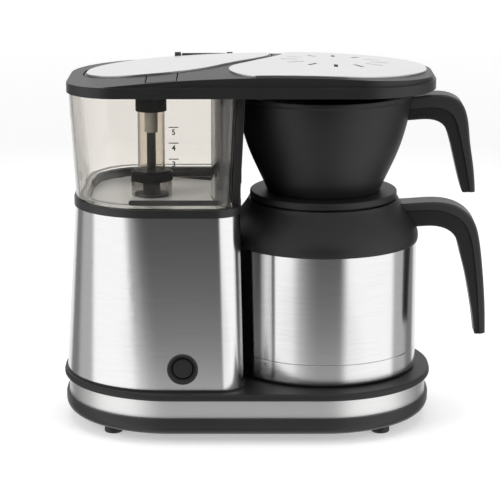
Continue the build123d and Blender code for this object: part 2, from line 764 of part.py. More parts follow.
# Riser through the tank
with BuildPart() as riser_base:
    revolve(
        around(
            [
                (RISER_TUBE_RADIUS, STEM_BOTTOM),
                (HOSE_BORE, STEM_BOTTOM),
                (HOSE_BORE, SUMP_BOTTOM),
                (STEM_RADIUS, SUMP_BOTTOM),
                (STEM_RADIUS, TANK_FLOOR_Z),
                (RISER_FOOT, TANK_FLOOR_Z),
                (RISER_FOOT, TANK_FLOOR_Z + RISER_BASE_STEP),
                (RISER_CORE, TANK_FLOOR_Z + RISER_BASE_STEP),
                (RISER_CORE, RISER_RING_Z),
                (RISER_BASE_RADIUS, RISER_RING_Z),
                (RISER_BASE_RADIUS, SLEEVE_BOTTOM - RISER_BASE_STEP),
                (RISER_BASE_RADIUS - RISER_BASE_STEP, SLEEVE_BOTTOM),
                (RISER_TUBE_RADIUS, SLEEVE_BOTTOM),
            ],
            RISER_X,
        ),
        axis=RISER_AXIS,
    )
riser_base.part.label = "riser_base"
export_step(riser_base.part, "parts/riser_base.step")

with BuildPart() as riser_cup:
    with BuildSketch(Plane.XY.offset(TANK_FLOOR_Z)):
        with Locations((RISER_X, 0)):
            Circle(RISER_CUP_RADIUS)
            Circle(RISER_CUP_RADIUS - SLEEVE_WALL, mode=Mode.SUBTRACT)
    extrude(amount=RISER_RING_Z - TANK_FLOOR_Z)
riser_cup.part.label = "riser_cup"
export_step(riser_cup.part, "parts/riser_cup.step")

with BuildPart() as riser_sleeve:
    with BuildSketch(Plane.XY.offset(SLEEVE_BOTTOM)):
        with Locations((RISER_X, 0)):
            Circle(SLEEVE_RADIUS)
            Circle(SLEEVE_RADIUS - SLEEVE_WALL, mode=Mode.SUBTRACT)
    extrude(amount=HEAD_BOTTOM - SLEEVE_BOTTOM)
riser_sleeve.part.label = "riser_sleeve"
export_step(riser_sleeve.part, "parts/riser_sleeve.step")

with BuildPart() as riser_collar:
    with BuildSketch(Plane.XY.offset(COLLAR_BOTTOM)):
        with Locations((RISER_X, 0)):
            Circle(COLLAR_RADIUS)
            Circle(SLEEVE_RADIUS, mode=Mode.SUBTRACT)
    extrude(amount=HEAD_BOTTOM - COLLAR_BOTTOM)
riser_collar.part.label = "riser_collar"
export_step(riser_collar.part, "parts/riser_collar.step")

with BuildPart() as riser_tube:
    with BuildSketch(Plane.XY.offset(STEM_BOTTOM)):
        with Locations((RISER_X, 0)):
            Circle(RISER_TUBE_RADIUS)
            Circle(RISER_TUBE_RADIUS - RISER_TUBE_WALL, mode=Mode.SUBTRACT)
    extrude(amount=RISER_JOIN - STEM_BOTTOM)
riser_tube.part.label = "riser_tube"
export_step(riser_tube.part, "parts/riser_tube.step")

with BuildPart() as riser_nozzle:
    with BuildSketch(Plane.XY.offset(NOZZLE_BOTTOM)):
        with Locations((RISER_X, 0)):
            Circle(NOZZLE_RADIUS)
            Circle(RISER_TUBE_RADIUS, mode=Mode.SUBTRACT)
    extrude(amount=HEAD_BOTTOM - NOZZLE_BOTTOM)
riser_nozzle.part.label = "riser_nozzle"
export_step(riser_nozzle.part, "parts/riser_nozzle.step")

with BuildPart() as crossover_tube:
    with BuildLine() as crossover_path:
        FilletPolyline(
            (RISER_X, 0, RISER_JOIN),
            (RISER_X, 0, CROSSOVER_Z),
            (CARAFE_X, 0, CROSSOVER_Z),
            (CARAFE_X, 0, SPOUT_Z),
            radius=CROSSOVER_BEND,
        )
    with BuildSketch(Plane(origin=(RISER_X, 0, RISER_JOIN), z_dir=(0, 0, 1))):
        Circle(CROSSOVER_RADIUS)
        Circle(CROSSOVER_RADIUS - RISER_TUBE_WALL, mode=Mode.SUBTRACT)
    sweep(path=crossover_path.wires()[0])
crossover_tube.part.label = "crossover_tube"
export_step(crossover_tube.part, "parts/crossover_tube.step")

# Water heating inside the tower
with BuildPart() as boiler_tube:
    with BuildLine() as boiler_path:
        FilletPolyline(
            (VALVE_X, BOILER_BACK, BOILER_Z),
            (VALVE_X, BOILER_FRONT, BOILER_Z),
            (BOILER_RIGHT, BOILER_FRONT, BOILER_Z),
            (BOILER_RIGHT, BOILER_BACK, BOILER_Z),
            radius=BOILER_BEND,
        )
    with BuildSketch(Plane(origin=(VALVE_X, BOILER_BACK, BOILER_Z), z_dir=(0, -1, 0))):
        Circle(HOSE_BORE)
        Circle(HOSE_BORE - BOILER_WALL, mode=Mode.SUBTRACT)
    sweep(path=boiler_path.wires()[0])
boiler_tube.part.label = "boiler_tube"
export_step(boiler_tube.part, "parts/boiler_tube.step")

with BuildPart() as heater_rod:
    with BuildLine() as heater_path:
        FilletPolyline(
            (VALVE_X, BOILER_BACK - HEATER_STEP, HEATER_Z),
            (VALVE_X, BOILER_FRONT, HEATER_Z),
            (BOILER_RIGHT, BOILER_FRONT, HEATER_Z),
            (BOILER_RIGHT, BOILER_BACK - HEATER_STEP, HEATER_Z),
            radius=BOILER_BEND,
        )
    with BuildSketch(Plane(origin=(VALVE_X, BOILER_BACK - HEATER_STEP, HEATER_Z), z_dir=(0, -1, 0))):
        Circle(HEATER_RADIUS)
    sweep(path=heater_path.wires()[0])
heater_rod.part.label = "heater_rod"
export_step(heater_rod.part, "parts/heater_rod.step")

with BuildPart() as heater_bracket:
    with BuildSketch(Plane.XZ.offset(-BRACKET_Y)):
        with BuildLine():
            Polyline(
                (BRACKET_LEFT - BRACKET_FOOT, TOWER_BOTTOM),
                (BRACKET_LEFT - BRACKET_FOOT, TOWER_BOTTOM + BRACKET_SHEET),
                (BRACKET_LEFT, TOWER_BOTTOM + BRACKET_SHEET),
                (BRACKET_LEFT, HEATER_Z - HEATER_RADIUS),
                (BRACKET_RIGHT, HEATER_Z - HEATER_RADIUS),
                (BRACKET_RIGHT, TOWER_BOTTOM + BRACKET_SHEET),
                (BRACKET_RIGHT + BRACKET_FOOT, TOWER_BOTTOM + BRACKET_SHEET),
                (BRACKET_RIGHT + BRACKET_FOOT, TOWER_BOTTOM),
                (BRACKET_RIGHT - BRACKET_SHEET, TOWER_BOTTOM),
                (BRACKET_RIGHT - BRACKET_SHEET, HEATER_Z - HEATER_RADIUS - BRACKET_SHEET),
                (BRACKET_LEFT + BRACKET_SHEET, HEATER_Z - HEATER_RADIUS - BRACKET_SHEET),
                (BRACKET_LEFT + BRACKET_SHEET, TOWER_BOTTOM),
                close=True,
            )
        make_face()
    extrude(amount=BRACKET_WIDTH / 2, both=True)
heater_bracket.part.label = "heater_bracket"
export_step(heater_bracket.part, "parts/heater_bracket.step")

with BuildPart() as thermostat:
    with BuildSketch(Plane.XY.offset(BOILER_Z)):
        with Locations((VALVE_X, THERMOSTAT_Y)):
            Circle(THERMOSTAT_RADIUS)
    extrude(amount=HOSE_BORE + THERMOSTAT_HEIGHT)
    with BuildSketch(Plane(origin=(VALVE_X, BOILER_BACK, BOILER_Z), z_dir=(0, -1, 0))):
        Circle(HOSE_BORE)
    extrude(amount=BOILER_BACK - BOILER_FRONT, mode=Mode.SUBTRACT)
    with BuildSketch(Plane.XY.offset(BOILER_Z + HOSE_BORE + THERMOSTAT_HEIGHT)):
        with Locations((VALVE_X, THERMOSTAT_Y)):
            with GridLocations(THERMOSTAT_RADIUS, THERMOSTAT_RADIUS, 2, 1):
                Rectangle(TERMINAL_THICK, TERMINAL_WIDTH)
    extrude(amount=TERMINAL_HEIGHT)
thermostat.part.label = "thermostat"
export_step(thermostat.part, "parts/thermostat.step")

with BuildPart() as thermal_fuse:
    fuse_middle = (BOILER_RIGHT, THERMOSTAT_Y, BOILER_Z + HOSE_BORE + FUSE_RADIUS)
    with BuildSketch(Plane(origin=fuse_middle, z_dir=(0, 1, 0))):
        Circle(FUSE_RADIUS)
    extrude(amount=FUSE_LENGTH / 2, both=True)
    fillet(thermal_fuse.edges().filter_by(GeomType.CIRCLE), radius=FUSE_RADIUS / 2)
thermal_fuse.part.label = "thermal_fuse"
export_step(thermal_fuse.part, "parts/thermal_fuse.step")

with BuildPart() as tank_valve:
    revolve(
        around(
            [
                (VALVE_BORE, STEM_BOTTOM),
                (HOSE_BORE, STEM_BOTTOM),
                (HOSE_BORE, TANK_FLOOR_Z),
                (VALVE_FLANGE, TANK_FLOOR_Z),
                (VALVE_FLANGE, TANK_FLOOR_Z + VALVE_RISE),
                (VALVE_BORE, TANK_FLOOR_Z + VALVE_RISE),
            ],
            VALVE_X,
        ).moved(Location((0, VALVE_Y, 0))),
        axis=Axis((VALVE_X, VALVE_Y, 0), (0, 0, 1)),
    )
tank_valve.part.label = "tank_valve"
export_step(tank_valve.part, "parts/tank_valve.step")

with BuildPart() as inlet_hose:
    with BuildLine() as inlet_path:
        FilletPolyline(
            (VALVE_X, VALVE_Y, SUMP_BOTTOM - LOOSE_FIT),
            (VALVE_X, VALVE_Y, BOILER_Z),
            (VALVE_X, BOILER_BACK - HOSE_LAP, BOILER_Z),
            radius=HOSE_BEND,
        )
    with BuildSketch(Plane(origin=(VALVE_X, VALVE_Y, SUMP_BOTTOM - LOOSE_FIT), z_dir=(0, 0, -1))):
        Circle(HOSE_RADIUS)
        Circle(HOSE_BORE, mode=Mode.SUBTRACT)
    sweep(path=inlet_path.wires()[0])
inlet_hose.part.label = "inlet_hose"
export_step(inlet_hose.part, "parts/inlet_hose.step")

with BuildPart() as outlet_hose:
    with BuildLine() as outlet_path:
        FilletPolyline(
            (BOILER_RIGHT, BOILER_BACK - HOSE_LAP, BOILER_Z),
            (BOILER_RIGHT, VALVE_Y, BOILER_Z),
            (BOILER_RIGHT, VALVE_Y, OUTLET_Z),
            (RISER_X, 0, OUTLET_Z),
            (RISER_X, 0, SUMP_BOTTOM),
            radius=HOSE_BEND,
        )
    with BuildSketch(Plane(origin=(BOILER_RIGHT, BOILER_BACK - HOSE_LAP, BOILER_Z), z_dir=(0, 1, 0))):
        Circle(HOSE_RADIUS)
        Circle(HOSE_BORE, mode=Mode.SUBTRACT)
    sweep(path=outlet_path.wires()[0])
outlet_hose.part.label = "outlet_hose"
export_step(outlet_hose.part, "parts/outlet_hose.step")

with BuildPart() as hose_clamps:
    with BuildSketch(Plane.XZ.offset(-BOILER_BACK + HOSE_LAP)):
        with Locations((VALVE_X, BOILER_Z), (BOILER_RIGHT, BOILER_Z)):
            Circle(HOSE_RADIUS + CLAMP_WALL)
            Circle(HOSE_RADIUS, mode=Mode.SUBTRACT)
    extrude(amount=-CLAMP_WIDTH)
    with BuildSketch(Plane.XY.offset(STEM_BOTTOM)):
        with Locations((VALVE_X, VALVE_Y), (RISER_X, 0)):
            Circle(HOSE_RADIUS + CLAMP_WALL)
            Circle(HOSE_RADIUS, mode=Mode.SUBTRACT)
    extrude(amount=CLAMP_WIDTH)
hose_clamps.part.label = "hose_clamps"
export_step(hose_clamps.part, "parts/hose_clamps.step")

with BuildPart() as control_board:
    with BuildSketch(Plane.XY.offset(TOWER_BOTTOM)):
        with Locations((BOARD_X, BOARD_Y)):
            with GridLocations(BOARD_WIDTH - 2 * BOARD_POST, BOARD_LENGTH - 2 * BOARD_POST, 2, 2):
                Circle(BOARD_POST / 2)
    extrude(amount=BOARD_RISE)
    with BuildSketch(Plane.XY.offset(TOWER_BOTTOM + BOARD_RISE)):
        with Locations((BOARD_X, BOARD_Y)):
            Rectangle(BOARD_WIDTH, BOARD_LENGTH)
    extrude(amount=BOARD_THICK)
    with BuildSketch(Plane.XY.offset(TOWER_BOTTOM + BOARD_RISE + BOARD_THICK)):
        with Locations((BOARD_X, BOARD_Y + BOARD_LENGTH / 4)):
            Rectangle(BOARD_WIDTH / 2, BOARD_LENGTH / 4)
        with Locations((BOARD_X, BOARD_Y - BOARD_LENGTH / 4)):
            Circle(BOARD_WIDTH / 5)
    extrude(amount=BOARD_PARTS)
control_board.part.label = "control_board"
export_step(control_board.part, "parts/control_board.step")

# Power button with its bezel, spring and switch
BUTTON_PLANE = Plane(origin=(BUTTON_X, -TOWER_HALF, BUTTON_Z), x_dir=(1, 0, 0), z_dir=(0, 1, 0))

with BuildPart() as button_bezel:
    with BuildSketch(BUTTON_PLANE.offset(-BEZEL_PROUD)):
        Circle(BEZEL_RADIUS)
    extrude(amount=BEZEL_PROUD)
    fillet(button_bezel.edges().sort_by(Axis.Y)[0], radius=BEZEL_ROUND)
    with BuildSketch(BUTTON_PLANE):
        Circle(BEZEL_BODY_RADIUS)
    extrude(amount=BEZEL_DEPTH)
    with BuildSketch(BUTTON_PLANE.offset(-BEZEL_PROUD)):
        Circle(BEZEL_BORE)
    extrude(amount=BEZEL_PROUD + BEZEL_DEPTH, mode=Mode.SUBTRACT)
    with BuildSketch(BUTTON_PLANE.offset(-BEZEL_PROUD)):
        Circle(BEZEL_RADIUS - BEZEL_PROUD)
    with BuildSketch(BUTTON_PLANE.offset(BUTTON_SINK)):
        Circle(BEZEL_BORE)
    loft(mode=Mode.SUBTRACT)
button_bezel.part.label = "button_bezel"
export_step(button_bezel.part, "parts/button_bezel.step")

with BuildPart() as power_button:
    with BuildSketch(BUTTON_PLANE.offset(BUTTON_SINK)):
        Circle(BUTTON_RADIUS)
    extrude(amount=BEZEL_DEPTH - BUTTON_SINK)
    fillet(power_button.edges().sort_by(Axis.Y)[0], radius=BUTTON_ROUND)
    with BuildSketch(BUTTON_PLANE.offset(BEZEL_DEPTH)):
        Circle(BUTTON_FLANGE)
    extrude(amount=BUTTON_FLANGE_DEPTH)
    with BuildSketch(BUTTON_PLANE.offset(BEZEL_DEPTH + BUTTON_FLANGE_DEPTH)):
        Circle(BUTTON_STEM)
    extrude(amount=SPRING_LENGTH - BUTTON_TRAVEL - 2 * SLIDE_GAP)
power_button.part.label = "power_button"
export_step(power_button.part, "parts/power_button.step")

with BuildPart() as button_spring:
    with BuildLine() as coil:
        Helix(
            pitch=(SPRING_LENGTH - 2 * SPRING_WIRE) / SPRING_TURNS,
            height=SPRING_LENGTH - 2 * SPRING_WIRE,
            radius=SPRING_RADIUS,
            center=(BUTTON_X, SPRING_FRONT + SPRING_WIRE, BUTTON_Z),
            direction=(0, 1, 0),
        )
    with BuildSketch(Plane(origin=coil.line @ 0, z_dir=coil.line % 0)):
        Circle(SPRING_WIRE)
    sweep(path=coil.line)
button_spring.part.label = "button_spring"
export_step(button_spring.part, "parts/button_spring.step")

with BuildPart() as switch_body:
    with BuildSketch(BUTTON_PLANE.offset(BEZEL_DEPTH)):
        Circle(SWITCH_RADIUS)
    extrude(amount=SWITCH_DEPTH)
    with BuildSketch(BUTTON_PLANE.offset(BEZEL_DEPTH)):
        Circle(BUTTON_FLANGE + SLIDE_GAP)
    extrude(amount=BUTTON_FLANGE_DEPTH + SPRING_LENGTH, mode=Mode.SUBTRACT)
    with BuildSketch(BUTTON_PLANE.offset(BEZEL_DEPTH + SWITCH_DEPTH)):
        with GridLocations(SWITCH_RADIUS, SWITCH_RADIUS, 2, 1):
            Rectangle(TERMINAL_THICK, TERMINAL_WIDTH)
    extrude(amount=TERMINAL_HEIGHT)
switch_body.part.label = "switch_body"
export_step(switch_body.part, "parts/switch_body.step")

# Head: crowned frame, underside, shower, steel plates and the hinged tank lid
with BuildPart() as head_cavity:
    extrude(head_face(HEAD_BOTTOM, HEAD_WALL), amount=CROWN_TOP - HEAD_BOTTOM)
    with Locations(CROWN_CENTRE):
        Sphere(CROWN_RADIUS - CROWN_THICK, rotation=(90, 0, 0), mode=Mode.INTERSECT)
    extrude(head_face(HEAD_BOTTOM, HEAD_WALL), amount=UNDER_THICK)

with BuildPart() as head_crown:
    extrude(head_face(HEAD_BOTTOM, UPPER_INSET), amount=CROWN_TOP - HEAD_BOTTOM)
    with Locations(CROWN_CENTRE):
        Sphere(CROWN_RADIUS, rotation=(90, 0, 0), mode=Mode.INTERSECT)

with BuildPart() as head_bosses:
    with BuildSketch(Plane.XY.offset(UNDER_TOP)):
        with Locations(*HEAD_SCREWS):
            Circle(BOSS_RADIUS)
    extrude(amount=CROWN_TOP - UNDER_TOP)
    with Locations(CROWN_CENTRE):
        Sphere(CROWN_RADIUS - CROWN_THICK / 2, rotation=(90, 0, 0), mode=Mode.INTERSECT)

with BuildPart() as lid_ledge:
    with BuildSketch(Plane.XY.offset(UNDER_TOP)):
        add(flap_face(0, FLAP_GAP + LEDGE_RIM))
        add(leaf_face(0, -LEDGE_WIDTH), mode=Mode.SUBTRACT)
    extrude(amount=CROWN_TOP - UNDER_TOP)
    with Locations(CROWN_CENTRE):
        Sphere(LEDGE_SPHERE, rotation=(90, 0, 0), mode=Mode.INTERSECT)
        Sphere(LEDGE_SPHERE - LEDGE_THICK, rotation=(90, 0, 0), mode=Mode.SUBTRACT)

with BuildPart() as head_frame:
    extrude(head_face(HEAD_BOTTOM, 0), amount=RIM_HEIGHT)
    rim_slope = Plane(origin=(0, -HEAD_HALF, RIM_TOP), z_dir=(0, RIM_FALL, 2 * HEAD_HALF))
    split(bisect_by=rim_slope, keep=Keep.BOTTOM)
    add(head_crown.part)
    add(head_cavity.part, mode=Mode.SUBTRACT)
    extrude(flap_face(UNDER_TOP, FLAP_GAP), amount=CROWN_TOP - UNDER_TOP, mode=Mode.SUBTRACT)
    add(lid_ledge.part)
    add(head_bosses.part)
    with BuildSketch(Plane.XY.offset(UNDER_TOP)):
        with Locations(*HEAD_SCREWS):
            Circle(SCREW_RADIUS)
    extrude(amount=HEAD_SCREW_GRIP, mode=Mode.SUBTRACT)
    with BuildSketch(Plane.XY.offset(UNDER_TOP)):
        with Locations((HINGE_X, (LEAF_BACK - FLAP_GAP + HINGE_Y + HINGE_CLEAR) / 2)):
            Rectangle(HINGE_LENGTH + 2 * FLAP_GAP, HINGE_Y + HINGE_CLEAR - LEAF_BACK + FLAP_GAP)
    extrude(amount=CROWN_TOP - UNDER_TOP, mode=Mode.SUBTRACT)
    with Locations((HINGE_X - LUG_REACH, HINGE_Y, HINGE_Z), (HINGE_X + LUG_REACH, HINGE_Y, HINGE_Z)):
        Cylinder(LUG_RADIUS, LUG_LENGTH, rotation=(0, 90, 0))
    with BuildSketch(Plane.YZ.offset(HINGE_X)):
        with Locations((HINGE_Y, HINGE_Z)):
            Circle(PIN_RADIUS)
    extrude(amount=PIN_LENGTH / 2, both=True, mode=Mode.SUBTRACT)
    with BuildSketch(Plane.XY.offset(UNDER_TOP)):
        with Locations((VENT_X, VENT_Y)):
            with PolarLocations(VENT_RADIUS, VENT_COUNT):
                Rectangle(VENT_LENGTH, VENT_WIDTH)
    extrude(amount=CROWN_TOP - UNDER_TOP, mode=Mode.SUBTRACT)
head_frame.part.label = "head_frame"
export_step(head_frame.part, "parts/head_frame.step")

with BuildPart() as head_underside:
    extrude(head_face(HEAD_BOTTOM, HEAD_WALL + LOOSE_FIT), amount=UNDER_THICK)
    with BuildSketch(Plane.XY.offset(HEAD_BOTTOM)):
        with Locations((FILL_X, FILL_Y), (FILL_X, -FILL_Y)):
            RectangleRounded(FILL_LENGTH, FILL_WIDTH, FILL_CORNER)
        with Locations((CARAFE_X, 0)):
            Circle(SHOWER_RADIUS + LOOSE_FIT)
        with Locations(((RISER_X + CARAFE_X) / 2, 0)):
            SlotOverall(
                CARAFE_X - RISER_X + 2 * (CROSSOVER_RADIUS + LOOSE_FIT),
                2 * (CROSSOVER_RADIUS + LOOSE_FIT),
            )
        with Locations(*HEAD_SCREWS):
            Circle(SCREW_RADIUS + LOOSE_FIT)
    extrude(amount=UNDER_THICK, mode=Mode.SUBTRACT)
    with BuildSketch(Plane.XY.offset(HEAD_BOTTOM)):
        with Locations(*HEAD_SCREWS):
            Circle(SCREW_HEAD_RADIUS + LOOSE_FIT)
    extrude(amount=UNDER_SINK, mode=Mode.SUBTRACT)
head_underside.part.label = "head_underside"
export_step(head_underside.part, "parts/head_underside.step")

with BuildPart() as head_screws:
    with BuildSketch(Plane.XY.offset(HEAD_BOTTOM)):
        with Locations(*HEAD_SCREWS):
            Circle(SCREW_HEAD_RADIUS)
    extrude(amount=UNDER_SINK)
    with BuildSketch(Plane.XY.offset(HEAD_BOTTOM + UNDER_SINK)):
        with Locations(*HEAD_SCREWS):
            Circle(SCREW_RADIUS)
    extrude(amount=UNDER_THICK - UNDER_SINK + HEAD_SCREW_GRIP)
head_screws.part.label = "head_screws"
export_step(head_screws.part, "parts/head_screws.step")

with BuildPart() as shower_head:
    revolve(
        around(
            [
                (0, SHOWER_BOTTOM),
                (SHOWER_RADIUS, SHOWER_BOTTOM),
                (SHOWER_RADIUS, UNDER_TOP),
                (SHOWER_RADIUS + SHOWER_FLANGE, UNDER_TOP),
                (SHOWER_RADIUS + SHOWER_FLANGE, UNDER_TOP + SHOWER_WALL),
                (SHOWER_RADIUS - SHOWER_WALL, UNDER_TOP + SHOWER_WALL),
                (SHOWER_RADIUS - SHOWER_WALL, SHOWER_BOTTOM + SHOWER_WALL),
                (0, SHOWER_BOTTOM + SHOWER_WALL),
            ]
        ),
        axis=CARAFE_AXIS,
    )
    with BuildSketch(Plane.XY.offset(SHOWER_BOTTOM)):
        with Locations((CARAFE_X, 0)):
            Circle(SHOWER_HOLE)
            for share, count in zip(SHOWER_RING_SHARES, SHOWER_RING_COUNTS):
                with PolarLocations(SHOWER_RADIUS * share, count):
                    Circle(SHOWER_HOLE)
    extrude(amount=SHOWER_WALL, mode=Mode.SUBTRACT)
    with Locations((CARAFE_X - SHOWER_RADIUS, 0, CROSSOVER_Z)):
        Box(4 * SHOWER_FLANGE, CROSSOVER_PASSAGE, CROSSOVER_PASSAGE, mode=Mode.SUBTRACT)
shower_head.part.label = "shower_head"
export_step(shower_head.part, "parts/shower_head.step")

with BuildPart() as vent_plate:
    with BuildSketch(Plane.XY.offset(UNDER_TOP)):
        add(head_face(0, PLATE_INSET, PLATE_CORNER))
        with BuildLine():
            Spline(*VENT_PLATE_EDGE)
            Polyline(
                VENT_PLATE_EDGE[-1],
                (HEAD_RIGHT, VENT_PLATE_BACK),
                (HEAD_RIGHT, VENT_PLATE_FRONT),
                VENT_PLATE_EDGE[0],
            )
        make_face(mode=Mode.INTERSECT)
    extrude(amount=CROWN_TOP + 2 * PLATE_THICK - UNDER_TOP)
    with Locations(CROWN_CENTRE):
        Sphere(CROWN_RADIUS + PLATE_THICK, rotation=(90, 0, 0), mode=Mode.INTERSECT)
        Sphere(CROWN_RADIUS, rotation=(90, 0, 0), mode=Mode.SUBTRACT)
    with BuildSketch(Plane.XY.offset(UNDER_TOP)):
        with Locations((VENT_X, VENT_Y)):
            with PolarLocations(VENT_RADIUS, VENT_COUNT):
                Rectangle(VENT_LENGTH, VENT_WIDTH)
    extrude(amount=CROWN_TOP + 2 * PLATE_THICK - UNDER_TOP, mode=Mode.SUBTRACT)
vent_plate.part.label = "vent_plate"
export_step(vent_plate.part, "parts/vent_plate.step")

with BuildPart() as tank_lid:
    with BuildSketch(Plane.XY.offset(UNDER_TOP + SLIDE_GAP)):
        add(flap_face(0, 0))
        with Locations((HINGE_X, (HINGE_Y + LEAF_BACK) / 2)):
            Rectangle(HINGE_LENGTH, HINGE_Y - LEAF_BACK)
    extrude(amount=CROWN_TOP - UNDER_TOP)
    with Locations(CROWN_CENTRE):
        Sphere(CROWN_RADIUS, rotation=(90, 0, 0), mode=Mode.INTERSECT)
        Sphere(CROWN_RADIUS - FLAP_THICK, rotation=(90, 0, 0), mode=Mode.SUBTRACT)
    with Locations((HINGE_X, HINGE_Y, HINGE_Z)):
        Cylinder(BARREL_RADIUS, HINGE_LENGTH, rotation=(0, 90, 0))
        Cylinder(PIN_RADIUS + SLIDE_GAP, HINGE_LENGTH, rotation=(0, 90, 0), mode=Mode.SUBTRACT)
tank_lid.part.label = "tank_lid"
export_step(tank_lid.part, "parts/tank_lid.step")

with BuildPart() as tank_lid_plate:
    extrude(leaf_face(UNDER_TOP, 0), amount=CROWN_TOP + 2 * PLATE_THICK - UNDER_TOP)
    with Locations(CROWN_CENTRE):
        Sphere(CROWN_RADIUS + PLATE_THICK, rotation=(90, 0, 0), mode=Mode.INTERSECT)
        Sphere(CROWN_RADIUS, rotation=(90, 0, 0), mode=Mode.SUBTRACT)
tank_lid_plate.part.label = "tank_lid_plate"
export_step(tank_lid_plate.part, "parts/tank_lid_plate.step")

with BuildPart() as lid_pin:
    with Locations((HINGE_X, HINGE_Y, HINGE_Z)):
        Cylinder(PIN_RADIUS, PIN_LENGTH, rotation=(0, 90, 0))
lid_pin.part.label = "lid_pin"
export_step(lid_pin.part, "parts/lid_pin.step")

# Thermal carafe: steel cup, shell and liner under a black shoulder
CARAFE_PLANE = Plane(origin=(CARAFE_X, 0, 0), x_dir=(1, 0, 0), z_dir=(0, -1, 0))

with BuildPart() as carafe_cup:
    revolve(
        around(
            [
                (0, CARAFE_BOTTOM),
                (CARAFE_RADIUS, CARAFE_BOTTOM),
                (CARAFE_RADIUS, SEAM_Z),
                (CARAFE_RADIUS - SHELL_WALL, SEAM_Z),
                (CARAFE_RADIUS - SHELL_WALL, SEAM_Z + SEAM_LAP),
                (CARAFE_RADIUS - SHELL_WALL - CUP_WALL, SEAM_Z + SEAM_LAP),
                (CARAFE_RADIUS - SHELL_WALL - CUP_WALL, CARAFE_BOTTOM + CARAFE_ROUND),
                (CARAFE_RADIUS - CUP_WALL - CARAFE_ROUND, CARAFE_BOTTOM + CUP_WALL),
                (0, CARAFE_BOTTOM + CUP_WALL),
            ]
        ),
        axis=CARAFE_AXIS,
    )
    cup_rings = carafe_cup.edges().filter_by(GeomType.CIRCLE)
    fillet(cup_rings.group_by(Axis.Z)[0], radius=CUP_ROUND)
    cup_rings = carafe_cup.edges().filter_by(GeomType.CIRCLE)
    seam_rings = cup_rings.filter_by_position(Axis.Z, SEAM_Z - SEAM_NEAR, SEAM_Z + SEAM_NEAR)
    chamfer(seam_rings.sort_by(SortBy.RADIUS)[-1], length=SEAM_BEVEL)
carafe_cup.part.label = "carafe_cup"
export_step(carafe_cup.part, "parts/carafe_cup.step")

with BuildPart() as carafe_shell:
    revolve(
        around(
            [
                (CARAFE_RADIUS - SEAM_BEVEL, SEAM_Z),
                (CARAFE_RADIUS, SEAM_Z + SEAM_BEVEL),
                (CARAFE_RADIUS, SHELL_TURN),
                (CARAFE_RADIUS - SHELL_STEP, SHELL_TURN + SHELL_RISE),
                (NECK_RADIUS, NECK_LOW),
                (NECK_RADIUS, NECK_TOP),
                (NECK_RADIUS - SHELL_WALL, NECK_TOP),
                (NECK_RADIUS - SHELL_WALL, NECK_LOW - SHELL_WALL / 2),
                (CARAFE_RADIUS - SHELL_STEP - SHELL_WALL, SHELL_TURN + SHELL_RISE - SHELL_WALL / 2),
                (CARAFE_RADIUS - SHELL_WALL, SHELL_TURN),
                (CARAFE_RADIUS - SHELL_WALL, SEAM_Z),
            ]
        ),
        axis=CARAFE_AXIS,
    )
carafe_shell.part.label = "carafe_shell"
export_step(carafe_shell.part, "parts/carafe_shell.step")

with BuildPart() as carafe_liner:
    revolve(
        around(
            [
                (0, LINER_BOTTOM),
                (LINER_RADIUS - LINER_BEVEL, LINER_BOTTOM),
                (LINER_RADIUS, LINER_BOTTOM + LINER_BEVEL),
                (LINER_RADIUS, SHELL_TURN),
                (LINER_NECK, NECK_LOW - SHELL_RISE),
                (LINER_NECK, NECK_TOP),
                (NECK_RADIUS, NECK_TOP),
                (NECK_RADIUS, LID_BOTTOM - SLIDE_GAP),
                (LINER_NECK - LINER_WALL, LID_BOTTOM - SLIDE_GAP),
                (LINER_NECK - LINER_WALL, NECK_LOW - SHELL_RISE),
                (LINER_RADIUS - LINER_WALL, SHELL_TURN),
                (LINER_RADIUS - LINER_WALL, LINER_BOTTOM + LINER_BEVEL),
                (LINER_RADIUS - LINER_BEVEL, LINER_BOTTOM + LINER_WALL),
                (0, LINER_BOTTOM + LINER_WALL),
            ]
        ),
        axis=CARAFE_AXIS,
    )
carafe_liner.part.label = "carafe_liner"
export_step(carafe_liner.part, "parts/carafe_liner.step")


def shoulder_face(solid):
    """Half-section of the carafe's shoulder, either as a wall or filled to the axis."""
    with BuildSketch(CARAFE_PLANE) as face:
        with BuildLine():
            Spline(*SHOULDER_CURVE)
            if solid:
                Polyline(
                    SHOULDER_CURVE[-1],
                    (0, SHOULDER_TOP),
                    (0, SHOULDER_Z),
                    (CARAFE_RADIUS, SHOULDER_Z),
                    SHOULDER_CURVE[0],
                )
            else:
                Polyline(
                    SHOULDER_CURVE[-1],
                    (NECK_RADIUS + SLIDE_GAP, SHOULDER_TOP),
                    (NECK_RADIUS + SLIDE_GAP, NECK_LOW + SLIDE_GAP),
                    (CARAFE_RADIUS - SHELL_STEP + SLIDE_GAP, SHELL_TURN + SHELL_RISE + SLIDE_GAP),
                    (CARAFE_RADIUS, SHELL_TURN + SLIDE_GAP),
                    (CARAFE_RADIUS, SHOULDER_Z),
                    SHOULDER_CURVE[0],
                )
        make_face()
    return face.sketch


def grip_face(upper, lower):
    """Side view of a handle strip between two curves."""
    with BuildSketch(Plane.XZ) as face:
        with BuildLine():
            Spline(*upper)
            Spline(*lower)
            Line(upper[0], lower[0])
            Line(upper[-1], lower[-1])
        make_face()
    return face.sketch


with BuildPart() as carafe_shoulder:
    revolve(shoulder_face(False), axis=CARAFE_AXIS)
carafe_shoulder.part.label = "carafe_shoulder"
export_step(carafe_shoulder.part, "parts/carafe_shoulder.step")

